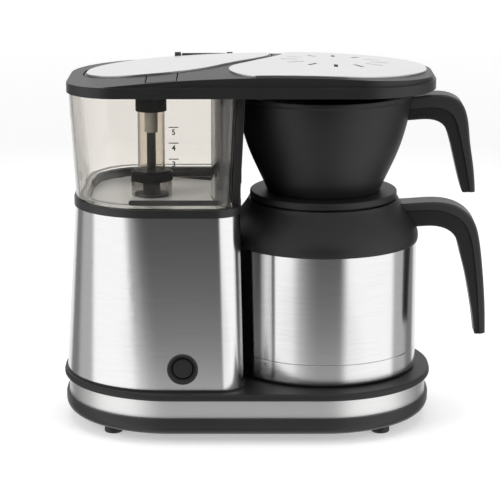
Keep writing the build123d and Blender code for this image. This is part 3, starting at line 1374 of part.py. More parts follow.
with BuildPart() as carafe_handle:
    extrude(grip_face(CARAFE_GRIP_MID, CARAFE_GRIP_IN), amount=CARAFE_GRIP_HALF - GRIP_SETBACK, both=True)
    fillet(carafe_handle.edges().sort_by(SortBy.LENGTH)[-4:].sort_by(Axis.X)[:2], radius=GRIP_ROUND)
    revolve(shoulder_face(True), axis=CARAFE_AXIS, mode=Mode.SUBTRACT)
carafe_handle.part.label = "carafe_handle"
export_step(carafe_handle.part, "parts/carafe_handle.step")

with BuildPart() as carafe_grip:
    extrude(grip_face(CARAFE_GRIP_OUT, CARAFE_GRIP_MID), amount=CARAFE_GRIP_HALF, both=True)
    fillet(carafe_grip.edges().sort_by(SortBy.LENGTH)[-2:], radius=GRIP_ROUND)
    revolve(shoulder_face(True), axis=CARAFE_AXIS, mode=Mode.SUBTRACT)
carafe_grip.part.label = "carafe_grip"
export_step(carafe_grip.part, "parts/carafe_grip.step")

with BuildPart() as carafe_lid:
    revolve(
        around(
            [
                (DRIP_RADIUS, LID_BOTTOM),
                (PLUG_RADIUS - PLUG_WALL, LID_BOTTOM),
                (PLUG_RADIUS - PLUG_WALL, PLUG_BOTTOM),
                (PLUG_RADIUS, PLUG_BOTTOM),
                (PLUG_RADIUS, SEAL_Z),
                (PLUG_RADIUS - SEAL_DEPTH, SEAL_Z),
                (PLUG_RADIUS - SEAL_DEPTH, SEAL_Z + SEAL_HEIGHT),
                (PLUG_RADIUS, SEAL_Z + SEAL_HEIGHT),
                (PLUG_RADIUS, LID_BOTTOM),
                (LID_RADIUS, LID_BOTTOM),
                (LID_RADIUS, LID_TOP),
                (LID_DISH, LID_TOP),
                (DRIP_RADIUS, LID_TOP - LID_DISH_DEPTH),
            ]
        ),
        axis=CARAFE_AXIS,
    )
    fillet(
        carafe_lid.edges().filter_by(GeomType.CIRCLE).sort_by(SortBy.RADIUS)[-2:],
        radius=LID_ROUND,
    )
carafe_lid.part.label = "carafe_lid"
export_step(carafe_lid.part, "parts/carafe_lid.step")

with BuildPart() as lid_seal:
    with BuildSketch(Plane.XY.offset(SEAL_Z)):
        with Locations((CARAFE_X, 0)):
            Circle(PLUG_RADIUS + SEAL_PROUD)
            Circle(PLUG_RADIUS - SEAL_DEPTH, mode=Mode.SUBTRACT)
    extrude(amount=SEAL_HEIGHT)
lid_seal.part.label = "lid_seal"
export_step(lid_seal.part, "parts/lid_seal.step")

# Cone basket with its handle
BASKET_INNER = [(r - BASKET_WALL, z) for r, z in BASKET_CURVE[1:]]

with BuildPart() as filter_basket:
    with BuildSketch(CARAFE_PLANE):
        with BuildLine():
            Spline(*BASKET_CURVE)
            Polyline(
                BASKET_CURVE[-1],
                (BASKET_CURVE[-1][0] + BASKET_LIP, BASKET_TOP - BASKET_LIP_HEIGHT),
                (BASKET_CURVE[-1][0] + BASKET_LIP, BASKET_TOP),
                (BASKET_INNER[-1][0], BASKET_TOP),
                BASKET_INNER[-1],
            )
            Spline(*BASKET_INNER)
            Polyline(
                BASKET_INNER[0],
                (BASKET_CURVE[0][0] - BASKET_WALL, BASKET_BOTTOM + BASKET_FLOOR),
                (DRAIN_RADIUS, BASKET_BOTTOM + BASKET_FLOOR),
                (DRAIN_RADIUS, BASKET_BOTTOM),
                BASKET_CURVE[0],
            )
        make_face()
    revolve(axis=CARAFE_AXIS)
    for turn in range(RIB_COUNT):
        angle = radians(360 * turn / RIB_COUNT)
        rib_plane = Plane(
            origin=(CARAFE_X, 0, 0),
            x_dir=(cos(angle), sin(angle), 0),
            z_dir=(sin(angle), -cos(angle), 0),
        )
        with BuildSketch(rib_plane):
            with BuildLine():
                Polyline(
                    *[(r + BASKET_WALL / 2, z) for r, z in BASKET_INNER[:3]],
                    (BASKET_INNER[2][0], BASKET_INNER[2][1]),
                    *[(r - RIB_HEIGHT, z) for r, z in BASKET_INNER[1::-1]],
                    close=True,
                )
            make_face()
        extrude(amount=RIB_WIDTH / 2, both=True)
filter_basket.part.label = "filter_basket"
export_step(filter_basket.part, "parts/filter_basket.step")

with BuildPart() as basket_outside:
    with BuildSketch(CARAFE_PLANE):
        with BuildLine():
            Spline(*BASKET_CURVE)
            Polyline(
                BASKET_CURVE[-1],
                (BASKET_CURVE[-1][0] + BASKET_LIP, BASKET_TOP - BASKET_LIP_HEIGHT),
                (BASKET_CURVE[-1][0] + BASKET_LIP, BASKET_TOP),
                (0, BASKET_TOP),
                (0, BASKET_BOTTOM),
                BASKET_CURVE[0],
            )
        make_face()
    revolve(axis=CARAFE_AXIS)

with BuildPart() as basket_handle:
    extrude(grip_face(BASKET_GRIP_MID, BASKET_GRIP_IN), amount=BASKET_GRIP_HALF - GRIP_SETBACK, both=True)
    fillet(basket_handle.edges().sort_by(SortBy.LENGTH)[-4:].sort_by(Axis.X)[:2], radius=GRIP_ROUND)
    add(basket_outside.part, mode=Mode.SUBTRACT)
basket_handle.part.label = "basket_handle"
export_step(basket_handle.part, "parts/basket_handle.step")

with BuildPart() as basket_grip:
    extrude(grip_face(BASKET_GRIP_OUT, BASKET_GRIP_MID), amount=BASKET_GRIP_HALF, both=True)
    fillet(basket_grip.edges().sort_by(SortBy.LENGTH)[-2:], radius=GRIP_ROUND)
    add(basket_outside.part, mode=Mode.SUBTRACT)
basket_grip.part.label = "basket_grip"
export_step(basket_grip.part, "parts/basket_grip.step")
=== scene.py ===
"""Looks of the drip coffee maker: finishes, tank marks, studio light and camera, in metres."""

from math import asin, atan, cos, degrees, pi, radians, sin

import bpy
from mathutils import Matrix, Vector


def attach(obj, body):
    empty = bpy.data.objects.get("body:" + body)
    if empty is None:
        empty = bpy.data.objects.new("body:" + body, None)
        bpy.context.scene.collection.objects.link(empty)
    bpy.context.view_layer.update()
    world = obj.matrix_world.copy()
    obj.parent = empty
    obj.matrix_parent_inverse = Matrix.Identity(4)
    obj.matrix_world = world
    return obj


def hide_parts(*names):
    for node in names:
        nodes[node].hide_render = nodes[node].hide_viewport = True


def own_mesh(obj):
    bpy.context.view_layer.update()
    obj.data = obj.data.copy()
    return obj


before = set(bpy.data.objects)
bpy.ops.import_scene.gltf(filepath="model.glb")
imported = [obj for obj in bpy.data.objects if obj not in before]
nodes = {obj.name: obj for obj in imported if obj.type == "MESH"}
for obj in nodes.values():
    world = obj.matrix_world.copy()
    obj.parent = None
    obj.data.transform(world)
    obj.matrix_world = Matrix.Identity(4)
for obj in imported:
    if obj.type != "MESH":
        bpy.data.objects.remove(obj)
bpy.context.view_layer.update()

# Camera, as fitted to the object's edges
IMAGE_SIDE = 500
FOCAL_PIXELS = 2277.0
SENSOR_MM = 36.0
CAMERA_PLACE = (0.002, -1.498, 0.4723)
CAMERA_TILT = 0.231
AXIS_ROW = 240.55

# Studio room: its fill, and what mirrors see at each bearing from the front, in degrees to the right
WHITE = 1.0
WORLD_FILL = 0.42
SOFTBOX_LEVEL = 1.3
OVERHEAD_RISE = (0.35, 0.6)
OVERHEAD_LEVEL = 0.75
MIRROR_VIEW = [
    (-150, 0.75),
    (-142, 0.18),
    (-128, 0.18),
    (-118, 0.42),
    (-98, 0.42),
    (-92, 1.0),
    (-40, 1.0),
    (-30, 0.4),
    (-18, 0.1),
    (-8, 0.0),
    (20, 0.0),
    (30, 1.0),
    (92, 1.0),
    (98, 0.42),
    (118, 0.42),
    (128, 0.18),
    (142, 0.18),
    (150, 0.75),
]

# Table top in front that only mirrors see: its edges, its light by distance and the share it lets through
TABLE_HALF = 0.25
TABLE_NEAR = -0.085
TABLE_FAR = -1.0
TABLE_LEVEL = 0.07
TABLE_FALL = -1.2
TABLE_MOST = 0.66
TABLE_PASS = 0.5

# Soft lamps on both sides and above
SIDE_LAMP_SIZE = 1.3
TOP_LAMP_SIZE = 1.4
SIDE_LAMP_WATTS = 17.0
TOP_LAMP_WATTS = 14.0
LEFT_LAMP_PLACE = (-1.5, -1.0, 0.9)
RIGHT_LAMP_PLACE = (1.6, -1.1, 0.8)
TOP_LAMP_PLACE = (0.0, 0.1, 1.9)
LAMP_AIM = (0.0, 0.0, 0.13)

# Floor of the studio, with its glow at each distance from the object, and its painted shade where it is
# seen after one reflection through the clear pieces
FLOOR_SIDE = 12.0
FLOOR_PALE = 0.82
FLOOR_PAINTED_DIM = 0.25
FLOOR_ROUGH = 0.7
FLOOR_GLOSS = 0.1
FLOOR_REACH = 2.5
FLOOR_GLOW = [(0.3, 0.41), (1.0, 0.29), (2.3, 0.62)]

# Shading of curved faces and of corners
SMOOTH_ANGLE = radians(32)
EDGE_ROUND = 0.0006
EDGE_SAMPLES = 4

# Grain of the finishes, counted per metre, and the depth of its relief
NOISE_MIDDLE = (0.3, 0.7)
FINE_DETAIL = 3.0
BROAD_DETAIL = 2.0
NOISE_ROUGH = 0.55
PLASTIC_DRIFT = 26.0
PLASTIC_GRAIN = 2200.0
PLASTIC_RELIEF = 0.12
PLASTIC_DEPTH = 0.00008
PLASTIC_GLOSS = 0.4
PLASTIC_ROUGH_SPAN = (-0.04, 0.05)
BRUSH_AROUND = {"grain": (45, 45, 3200), "turn": 0.25}
BRUSH_FLAT = {"grain": (40, 2400, 40), "turn": 0.0}
BRUSH_DETAIL = 4.0
BRUSH_NOISE_ROUGH = 0.62
BRUSH_ROUGH_SPAN = (-0.015, 0.015)
BRUSH_RELIEF = 0.02
BRUSH_DEPTH = 0.00001
BRUSH_PULL = 0.8
METAL_GRAIN = 300.0
METAL_ROUGH_SPAN = (-0.05, 0.08)
CLEAR_WAVE = (30, 30, 18)
CLEAR_DRIFT = 0.015
CLEAR_INDEX = 1.45
CLEAR_GLOSS = 0.2
RUBBER_GRAIN = 900.0
RUBBER_ROUGH_SPAN = (-0.05, 0.05)
RUBBER_RELIEF = 0.15
RUBBER_DEPTH = 0.0001

# Cup scale printed on the tank's front wall, which leans outwards by 3.4 in 72.7
MARK_X = -0.0466
MARK_LENGTH = 0.0064
MARK_HEIGHT = 0.0006
DIGIT_SIZE = 0.005
DIGIT_DROP = 0.0049
CUP_LINES = {"5": 0.2112, "4": 0.2009, "3": 0.1904}
WALL_FOOT_Y = -0.0712
WALL_FOOT_Z = 0.157
WALL_LEAN = 3.4 / 72.7
INK_THICK = 0.0001
DIGIT_WEIGHT = 0.0001
ROUND_STEPS = 8

# Seal behind the foot of the tank's front wall
SEAL_X = -0.046
SEAL_Z = 0.161
SEAL_LENGTH = 0.06
SEAL_HEIGHT = 0.0034
SEAL_THICK = 0.0006
SEAL_DEPTH = 0.0031

# Face of the tank's floor, round at the left and hollow around the carafe
CARAFE_X = 0.0513
TANK_FLOOR_Z = 0.15162
TANK_FLOOR_THICK = 0.0003
TANK_ROUND = 0.0408
TANK_ROUND_X = -0.0647
TANK_ROUND_Y = 0.0235
TANK_HOLLOW = 0.0757
TANK_TIP = 0.0405

# Finishes, kept by name
finish = {}


# Node helpers
def grey(level):
    """A colour without a tint."""
    return (level, level, level)


def new_material(name):
    """An empty finish, kept under its name."""
    material = bpy.data.materials.new(name)
    material.use_nodes = True
    finish[name] = material
    return material.node_tree, material.node_tree.nodes["Principled BSDF"]


def link(tree, source, target):
    tree.links.new(source, target)


def compute(tree, operation, *values):
    """Arithmetic on sockets and plain numbers."""
    node = tree.nodes.new("ShaderNodeMath")
    node.operation = operation
    for socket, value in zip(node.inputs, values):
        if isinstance(value, bpy.types.NodeSocket):
            link(tree, value, socket)
        else:
            socket.default_value = value
    return node.outputs["Value"]


def remap(tree, source, given, wanted=(0.0, 1.0)):
    """One range laid out on another, and held at its ends."""
    node = tree.nodes.new("ShaderNodeMapRange")
    node.inputs["From Min"].default_value = given[0]
    node.inputs["From Max"].default_value = given[1]
    node.inputs["To Min"].default_value = wanted[0]
    node.inputs["To Max"].default_value = wanted[1]
    link(tree, source, node.inputs["Value"])
    return node.outputs["Result"]


def axes(tree, output):
    """The parts along X, Y and Z of the coordinates that the output names."""
    place = tree.nodes.new("ShaderNodeTexCoord")
    parts = tree.nodes.new("ShaderNodeSeparateXYZ")
    link(tree, place.outputs[output], parts.inputs["Vector"])
    return parts.outputs


def stretched_noise(tree, scale, detail, rough=NOISE_ROUGH):
    """Noise on the piece's own coordinates, with its own scale along each axis."""
    place = tree.nodes.new("ShaderNodeTexCoord")
    stretch = tree.nodes.new("ShaderNodeMapping")
    stretch.inputs["Scale"].default_value = scale
    noise = tree.nodes.new("ShaderNodeTexNoise")
    noise.inputs["Scale"].default_value = 1.0
    noise.inputs["Detail"].default_value = detail
    noise.inputs["Roughness"].default_value = rough
    link(tree, place.outputs["Object"], stretch.inputs["Vector"])
    link(tree, stretch.outputs["Vector"], noise.inputs["Vector"])
    return noise.outputs["Fac"]


def even_noise(tree, grain, detail=FINE_DETAIL):
    """Noise of one scale along every axis."""
    return stretched_noise(tree, (grain, grain, grain), detail)


def vary_roughness(tree, shader, source, rough, span):
    """Roughness that varies with the noise, by a span about its middle."""
    ends = (rough + span[0], rough + span[1])
    link(tree, remap(tree, source, NOISE_MIDDLE, ends), shader.inputs["Roughness"])


def tone(tree, source, dark, light):
    """A colour that runs from dark to light over the middle of the source's range."""
    ramp = tree.nodes.new("ShaderNodeValToRGB")
    for stop, place, colour in zip(ramp.color_ramp.elements, NOISE_MIDDLE, (dark, light)):
        stop.position = place
        stop.color = (*colour, 1)
    link(tree, source, ramp.inputs["Fac"])
    return ramp.outputs["Color"]


def level_ramp(tree, source, levels):
    """Grey levels at the given places along the source's range."""
    ramp = tree.nodes.new("ShaderNodeValToRGB")
    stops = ramp.color_ramp.elements
    for place, level in levels:
        stop = stops.new(place)
        stop.color = (*grey(level), 1)
    stops.remove(stops[0])
    stops.remove(stops[len(stops) - 1])
    link(tree, source, ramp.inputs["Fac"])
    return ramp.outputs["Color"]


def bump(tree, shader, source, strength, distance):
    """Surface relief from the noise, with the corners of the piece softened."""
    rounded = tree.nodes.new("ShaderNodeBevel")
    rounded.samples = EDGE_SAMPLES
    rounded.inputs["Radius"].default_value = EDGE_ROUND
    relief = tree.nodes.new("ShaderNodeBump")
    relief.inputs["Strength"].default_value = strength
    relief.inputs["Distance"].default_value = distance
    link(tree, source, relief.inputs["Height"])
    link(tree, rounded.outputs["Normal"], relief.inputs["Normal"])
    link(tree, relief.outputs["Normal"], shader.inputs["Normal"])


# Finishes
def moulded_plastic(
    name, dark, light, rough, grain=PLASTIC_GRAIN, relief=PLASTIC_RELIEF, gloss=PLASTIC_GLOSS
):
    """Moulded plastic with a fine spark-eroded grain and a faint drift in tone."""
    tree, shader = new_material(name)
    fine = even_noise(tree, grain)
    broad = even_noise(tree, PLASTIC_DRIFT, BROAD_DETAIL)
    link(tree, tone(tree, broad, dark, light), shader.inputs["Base Color"])
    vary_roughness(tree, shader, fine, rough, PLASTIC_ROUGH_SPAN)
    shader.inputs["Specular IOR Level"].default_value = gloss
    bump(tree, shader, fine, relief, PLASTIC_DEPTH)


def brushed_metal(name, dark, light, rough, brush, pull=BRUSH_PULL):
    """Metal with long fine brush marks, which stretch reflections across the marks."""
    tree, shader = new_material(name)
    marks = stretched_noise(tree, brush["grain"], BRUSH_DETAIL, BRUSH_NOISE_ROUGH)
    link(tree, tone(tree, marks, dark, light), shader.inputs["Base Color"])
    vary_roughness(tree, shader, marks, rough, BRUSH_ROUGH_SPAN)
    shader.inputs["Metallic"].default_value = 1.0
    shader.inputs["Anisotropic"].default_value = pull
    shader.inputs["Anisotropic Rotation"].default_value = brush["turn"]
    around = tree.nodes.new("ShaderNodeTangent")
    around.direction_type = "RADIAL"
    around.axis = "Z"
    link(tree, around.outputs["Tangent"], shader.inputs["Tangent"])
    bump(tree, shader, marks, BRUSH_RELIEF, BRUSH_DEPTH)


def bare_metal(name, dark, light, rough):
    """Plain metal with a soft mottled sheen."""
    tree, shader = new_material(name)
    mottle = even_noise(tree, METAL_GRAIN)
    link(tree, tone(tree, mottle, dark, light), shader.inputs["Base Color"])
    vary_roughness(tree, shader, mottle, rough, METAL_ROUGH_SPAN)
    shader.inputs["Metallic"].default_value = 1.0


def clear_plastic(name, tint, rough):
    """Clear moulded plastic with a tint that drifts a little."""
    tree, shader = new_material(name)
    wave = stretched_noise(tree, CLEAR_WAVE, BROAD_DETAIL)
    pale = tuple(min(1.0, part + CLEAR_DRIFT) for part in tint)
    link(tree, tone(tree, wave, tint, pale), shader.inputs["Base Color"])
    shader.inputs["Roughness"].default_value = rough
    shader.inputs["IOR"].default_value = CLEAR_INDEX
    shader.inputs["Transmission Weight"].default_value = 1.0
    shader.inputs["Specular IOR Level"].default_value = CLEAR_GLOSS


def soft_rubber(name, dark, light, rough):
    """Rubber or silicone with a dull fine grain."""
    tree, shader = new_material(name)
    grain = even_noise(tree, RUBBER_GRAIN)
    link(tree, tone(tree, grain, dark, light), shader.inputs["Base Color"])
    vary_roughness(tree, shader, grain, rough, RUBBER_ROUGH_SPAN)
    bump(tree, shader, grain, RUBBER_RELIEF, RUBBER_DEPTH)


moulded_plastic("black_plastic", grey(0.011), grey(0.014), 0.4)
moulded_plastic("cone_plastic", grey(0.008), grey(0.011), 0.48)
moulded_plastic("grip_plastic", grey(0.026), grey(0.031), 0.4)
moulded_plastic("gasket_plastic", grey(0.013), grey(0.017), 0.38)
# Painted shade: a darker, duller copy of the black plastic for the pieces inside the tank, standing in
# for the shade they sit in there
moulded_plastic("inner_plastic", grey(0.002), grey(0.004), 0.36, gloss=0.05)
brushed_metal("tower_steel", (0.68, 0.68, 0.685), (0.75, 0.75, 0.755), 0.18, BRUSH_AROUND)
brushed_metal("carafe_steel", grey(0.67), grey(0.74), 0.18, BRUSH_AROUND)
brushed_metal("band_steel", (0.67, 0.67, 0.665), (0.73, 0.73, 0.725), 0.4, BRUSH_AROUND, pull=0.5)
brushed_metal("plate_steel", grey(0.8), grey(0.87), 0.34, BRUSH_FLAT, pull=0.3)
bare_metal("liner_steel", grey(0.62), grey(0.7), 0.2)
bare_metal("zinc", (0.5, 0.5, 0.49), (0.6, 0.6, 0.58), 0.32)
bare_metal("heater_metal", grey(0.5), grey(0.6), 0.4)
clear_plastic("smoke_clear", (0.93, 0.91, 0.875), 0.0)
clear_plastic("clear_tube", (0.88, 0.84, 0.78), 0.0)
moulded_plastic("grey_tube", (0.3, 0.29, 0.27), (0.37, 0.36, 0.335), 0.3)
soft_rubber("milky_silicone", (0.62, 0.6, 0.55), (0.7, 0.68, 0.63), 0.4)
soft_rubber("rubber", grey(0.012), grey(0.02), 0.6)
moulded_plastic("button_black", grey(0.012), grey(0.016), 0.34)
moulded_plastic("board_green", (0.02, 0.09, 0.04), (0.03, 0.12, 0.05), 0.4, grain=700.0)
clear_plastic("smoke_cup", (0.7, 0.69, 0.67), 0.05)
moulded_plastic("tank_floor", (0.53, 0.525, 0.515), (0.6, 0.595, 0.585), 0.22, grain=900.0, relief=0.03)
moulded_plastic("mark_ink", grey(0.012), grey(0.02), 0.6)

NODE_FINISH = {
    "black_plastic": [
        "base_pan",
        "head_frame",
        "head_underside",
        "tank_lid",
        "side_panel",
        "carafe_handle",
        "basket_handle",
    ],
    "cone_plastic": ["filter_basket", "base_deck", "carafe_shoulder", "carafe_lid"],
    "grip_plastic": ["carafe_grip", "basket_grip"],
    "gasket_plastic": ["tank_gasket"],
    # Pieces inside the tank take the painted-shade copy of the black plastic
    "inner_plastic": [
        "riser_collar",
        "riser_base",
        "riser_tube",
        "thermostat",
        "tank_valve",
        "switch_body",
        "shower_head",
    ],
    "tower_steel": ["tower_shell"],
    "carafe_steel": ["carafe_shell", "carafe_cup"],
    "band_steel": ["base_band"],
    "plate_steel": ["vent_plate", "tank_lid_plate"],
    "liner_steel": ["carafe_liner"],
    "zinc": [
        "base_screws",
        "heater_bracket",
        "thermal_fuse",
        "hose_clamps",
        "button_spring",
        "head_screws",
        "lid_pin",
    ],
    "heater_metal": ["boiler_tube", "heater_rod"],
    "smoke_clear": ["water_tank"],
    "clear_tube": ["riser_sleeve"],
    "smoke_cup": ["riser_cup"],
    "grey_tube": ["riser_nozzle"],
    "milky_silicone": ["crossover_tube", "inlet_hose", "outlet_hose", "lid_seal"],
    "rubber": ["rubber_feet", "cord_gland"],
    "button_black": ["button_bezel", "power_button"],
    "board_green": ["control_board"],
}

for name, members in NODE_FINISH.items():
    for member in members:
        mesh = nodes[member].data
        mesh.materials.clear()
        mesh.materials.append(finish[name])
        mesh.shade_smooth()
        mesh.set_sharp_from_angle(angle=SMOOTH_ANGLE)

# Clear pieces let the lamps through
for name in ("water_tank", "riser_sleeve", "riser_cup"):
    nodes[name].visible_shadow = False


# Tank details: floor, front seal and the printed cup scale
def add_piece(piece, finish_name):
    """Hands a new piece its finish and lets it stand with the housing."""
    piece.data.materials.append(finish[finish_name])
    bpy.context.scene.collection.objects.link(piece)
    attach(piece, "stand")


def slab(name, rim, thick):
    """A flat piece of one thickness inside an outline that runs anticlockwise."""
    count = len(rim)
    points = [(x, y, thick) for x, y in rim] + [(x, y, 0) for x, y in rim]
    sides = [(i, count + i, count + (i + 1) % count, (i + 1) % count) for i in range(count)]
    mesh = bpy.data.meshes.new(name)
    mesh.from_pydata(points, [], [range(count), range(2 * count - 1, count - 1, -1), *sides])
    return bpy.data.objects.new(name, mesh)


def arc(centre, radius, start, end, steps=ROUND_STEPS):
    """Points along an arc between two angles in degrees."""
    turns = [radians(start + (end - start) * step / steps) for step in range(steps + 1)]
    return [(centre[0] + radius * cos(turn), centre[1] + radius * sin(turn)) for turn in turns]


def stroke(name, length, height, thick):
    """A flat bar with round ends."""
    reach = (length - height) / 2
    rim = arc((reach, 0), height / 2, -90, 90) + arc((-reach, 0), height / 2, 90, 270)
    return slab(name, rim, thick)


def on_wall(piece, x, height, depth=0.0):
    """Lays a flat piece against the leaning front wall of the tank, or behind that wall."""
    wall_y = WALL_FOOT_Y - (height - WALL_FOOT_Z) * WALL_LEAN
    piece.location = (x, wall_y + depth, height)
    piece.rotation_euler = (pi / 2 + atan(WALL_LEAN), 0, 0)


def digit(name, figure):
    """A printed figure of the cup scale."""
    letters = bpy.data.curves.new("digit_form", "FONT")
    letters.body = figure
    letters.size = DIGIT_SIZE
    letters.align_x = "CENTER"
    letters.extrude = INK_THICK / 2
    letters.offset = DIGIT_WEIGHT
    form = bpy.data.objects.new("digit_form", letters)
    mesh = bpy.data.meshes.new_from_object(form)
    bpy.data.objects.remove(form)
    bpy.data.curves.remove(letters)
    return bpy.data.objects.new(name, mesh)


def tank_floor():
    """The tank's satin floor, round at the left and hollow where the carafe stands."""
    tip = degrees(asin(TANK_TIP / TANK_HOLLOW))
    rim = arc((TANK_ROUND_X, -TANK_ROUND_Y), TANK_ROUND, 180, 270)
    rim += arc((CARAFE_X, 0), TANK_HOLLOW, 180 + tip, 180 - tip, 2 * ROUND_STEPS)
    rim += arc((TANK_ROUND_X, TANK_ROUND_Y), TANK_ROUND, 90, 180)
    piece = slab("tank_floor_face", rim, TANK_FLOOR_THICK)
    piece.location = (0, 0, TANK_FLOOR_Z)
    add_piece(piece, "tank_floor")


def front_seal():
    """The rubber seal behind the foot of the tank's front wall."""
    seal = stroke("tank_front_seal", SEAL_LENGTH, SEAL_HEIGHT, SEAL_THICK)
    on_wall(seal, SEAL_X, SEAL_Z, SEAL_DEPTH)
    add_piece(seal, "rubber")


def cup_scale():
    """A printed line for each cup, with its number below the line."""
    for figure, height in CUP_LINES.items():
        line = stroke("scale_line_" + figure, MARK_LENGTH, MARK_HEIGHT, INK_THICK)
        on_wall(line, MARK_X, height)
        add_piece(line, "mark_ink")
        number = digit("scale_number_" + figure, figure)
        on_wall(number, MARK_X, height - DIGIT_DROP)
        add_piece(number, "mark_ink")


tank_floor()
front_seal()
cup_scale()


# Button spring
def button_coil():
    """The button's spring, which stands against the switch, as a copy with its own mesh that rides with
    the housing in place of the part's spring.
    """
    spring = bpy.data.objects.new("button_coil", nodes["button_spring"].data.copy())
    bpy.context.scene.collection.objects.link(spring)
    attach(spring, "stand")
    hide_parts("button_spring")
    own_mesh(spring)


button_coil()


# Stage: floor, light and camera
def flat_face(name, corners):
    """A flat face at the height of the counter."""
    mesh = bpy.data.meshes.new(name)
    mesh.from_pydata([(x, y, 0) for x, y in corners], [], [(0, 1, 2, 3)])
    piece = bpy.data.objects.new(name, mesh)
    bpy.context.scene.collection.objects.link(piece)
    return piece


def direct_sight(tree):
    """Zero for sight lines that met one mirror on their way, and one or more for the others."""
    path = tree.nodes.new("ShaderNodeLightPath")
    return compute(tree, "ABSOLUTE", compute(tree, "SUBTRACT", path.outputs["Glossy Depth"], 1.0))


def mirrored_rays(tree, path):
    """One for rays from reflections and through clear pieces, and zero for the others."""
    return compute(tree, "MAXIMUM", path.outputs["Is Glossy Ray"], path.outputs["Is Transmission Ray"])


def pale_floor():
    """Pale floor that keeps the object's shadow and fades to the white of the room further out."""
    half = FLOOR_SIDE / 2
    floor = flat_face("floor", [(-half, -half), (half, -half), (half, half), (-half, half)])
    tree, shader = new_material("floor_pale")
    shader.inputs["Roughness"].default_value = FLOOR_ROUGH
    shader.inputs["Specular IOR Level"].default_value = FLOOR_GLOSS
    # Painted shade: where the floor is seen after one reflection through the clear pieces, its colour and
    # glow drop to a dim grey, which darkens those reflections
    direct = direct_sight(tree)
    link(tree, tone(tree, direct, grey(FLOOR_PAINTED_DIM), grey(FLOOR_PALE)), shader.inputs["Base Color"])
    link(tree, tone(tree, direct, grey(FLOOR_PAINTED_DIM), grey(WHITE)), shader.inputs["Emission Color"])
    place = tree.nodes.new("ShaderNodeTexCoord")
    reach = tree.nodes.new("ShaderNodeVectorMath")
    reach.operation = "LENGTH"
    link(tree, place.outputs["Object"], reach.inputs[0])
    share = compute(tree, "DIVIDE", reach.outputs["Value"], FLOOR_REACH)
    fade = level_ramp(tree, share, [(radius / FLOOR_REACH, level) for radius, level in FLOOR_GLOW])
    path = tree.nodes.new("ShaderNodeLightPath")
    seen = compute(tree, "MAXIMUM", path.outputs["Is Camera Ray"], mirrored_rays(tree, path))
    link(tree, compute(tree, "MULTIPLY", fade, seen), shader.inputs["Emission Strength"])
    floor.data.materials.append(finish["floor_pale"])
    floor.visible_glossy = False


def front_table():
    """The lit table top in front, seen only in reflections, which dims away from the object."""
    near = [(-TABLE_HALF, TABLE_NEAR), (TABLE_HALF, TABLE_NEAR)]
    far = [(TABLE_HALF, TABLE_FAR), (-TABLE_HALF, TABLE_FAR)]
    table = flat_face("front_table", (near + far)[::-1])
    tree, shader = new_material("table_top")
    tree.nodes.remove(shader)
    both = tree.nodes.new("ShaderNodeAddShader")
    clear = tree.nodes.new("ShaderNodeBsdfTransparent")
    clear.inputs["Color"].default_value = (*grey(TABLE_PASS), 1)
    light = tree.nodes.new("ShaderNodeEmission")
    away = compute(tree, "ABSOLUTE", axes(tree, "Object")["Y"])
    level = compute(tree, "MULTIPLY", compute(tree, "POWER", away, TABLE_FALL), TABLE_LEVEL)
    link(tree, compute(tree, "MINIMUM", level, TABLE_MOST), light.inputs["Strength"])
    link(tree, light.outputs["Emission"], both.inputs[0])
    link(tree, clear.outputs["BSDF"], both.inputs[1])
    link(tree, both.outputs["Shader"], tree.nodes["Material Output"].inputs["Surface"])
    table.data.materials.append(finish["table_top"])
    table.visible_camera = False
    table.visible_diffuse = False
    table.visible_transmission = False
    table.visible_shadow = False


def mirror_view(tree):
    """Brightness by bearing: softboxes on both sides, a dim front, white behind and overhead."""
    way = axes(tree, "Generated")
    bearing = compute(tree, "ARCTAN2", way["X"], compute(tree, "MULTIPLY", way["Y"], -1.0))
    turn = remap(tree, bearing, (-pi, pi))
    bands = level_ramp(tree, turn, [((angle + 180) / 360, level) for angle, level in MIRROR_VIEW])
    view = tree.nodes.new("ShaderNodeMix")
    view.inputs["B"].default_value = OVERHEAD_LEVEL
    link(tree, remap(tree, way["Z"], OVERHEAD_RISE), view.inputs["Factor"])
    link(tree, bands, view.inputs["A"])
    return compute(tree, "MULTIPLY", view.outputs["Result"], SOFTBOX_LEVEL)


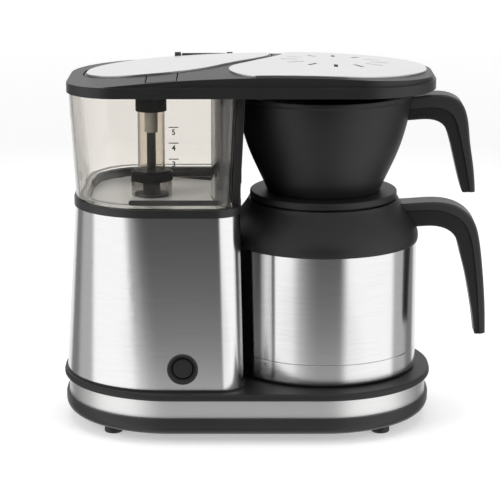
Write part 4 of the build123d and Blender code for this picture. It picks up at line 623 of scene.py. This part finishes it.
def studio_room():
    """White to the eye, an even fill, and softboxes in mirrors and through clear pieces."""
    world = bpy.data.worlds.new("studio_room")
    bpy.context.scene.world = world
    world.use_nodes = True
    tree = world.node_tree
    background = tree.nodes["Background"]
    background.inputs["Color"].default_value = (*grey(WHITE), 1)
    path = tree.nodes.new("ShaderNodeLightPath")
    plain = remap(tree, path.outputs["Is Camera Ray"], (0.0, 1.0), (WORLD_FILL, 1.0))
    strength = tree.nodes.new("ShaderNodeMix")
    link(tree, mirrored_rays(tree, path), strength.inputs["Factor"])
    link(tree, plain, strength.inputs["A"])
    link(tree, mirror_view(tree), strength.inputs["B"])
    link(tree, strength.outputs["Result"], background.inputs["Strength"])


def soft_lamp(name, place, size, watts):
    """A square soft lamp aimed at the object's middle."""
    lamp = bpy.data.lights.new(name, "AREA")
    lamp.shape = "RECTANGLE"
    lamp.size = size
    lamp.size_y = size
    lamp.energy = watts
    holder = bpy.data.objects.new(name, lamp)
    bpy.context.scene.collection.objects.link(holder)
    holder.location = place
    holder.rotation_euler = (Vector(LAMP_AIM) - Vector(place)).to_track_quat("-Z", "Y").to_euler()
    holder.visible_camera = False
    holder.visible_glossy = False


def photo_camera():
    """The camera at its fitted place, tilt and lens."""
    data = bpy.data.cameras.new("camera")
    data.sensor_width = SENSOR_MM
    data.lens = SENSOR_MM * FOCAL_PIXELS / IMAGE_SIDE
    data.shift_y = (AXIS_ROW - IMAGE_SIDE / 2) / IMAGE_SIDE
    camera = bpy.data.objects.new("camera", data)
    bpy.context.scene.collection.objects.link(camera)
    camera.location = CAMERA_PLACE
    camera.rotation_euler = (pi / 2 - CAMERA_TILT, 0, 0)
    bpy.context.scene.camera = camera


pale_floor()
front_table()
studio_room()
soft_lamp("left_lamp", LEFT_LAMP_PLACE, SIDE_LAMP_SIZE, SIDE_LAMP_WATTS)
soft_lamp("right_lamp", RIGHT_LAMP_PLACE, SIDE_LAMP_SIZE, SIDE_LAMP_WATTS)
soft_lamp("top_lamp", TOP_LAMP_PLACE, TOP_LAMP_SIZE, TOP_LAMP_WATTS)
photo_camera()
bpy.context.scene.view_settings.view_transform = "Standard"
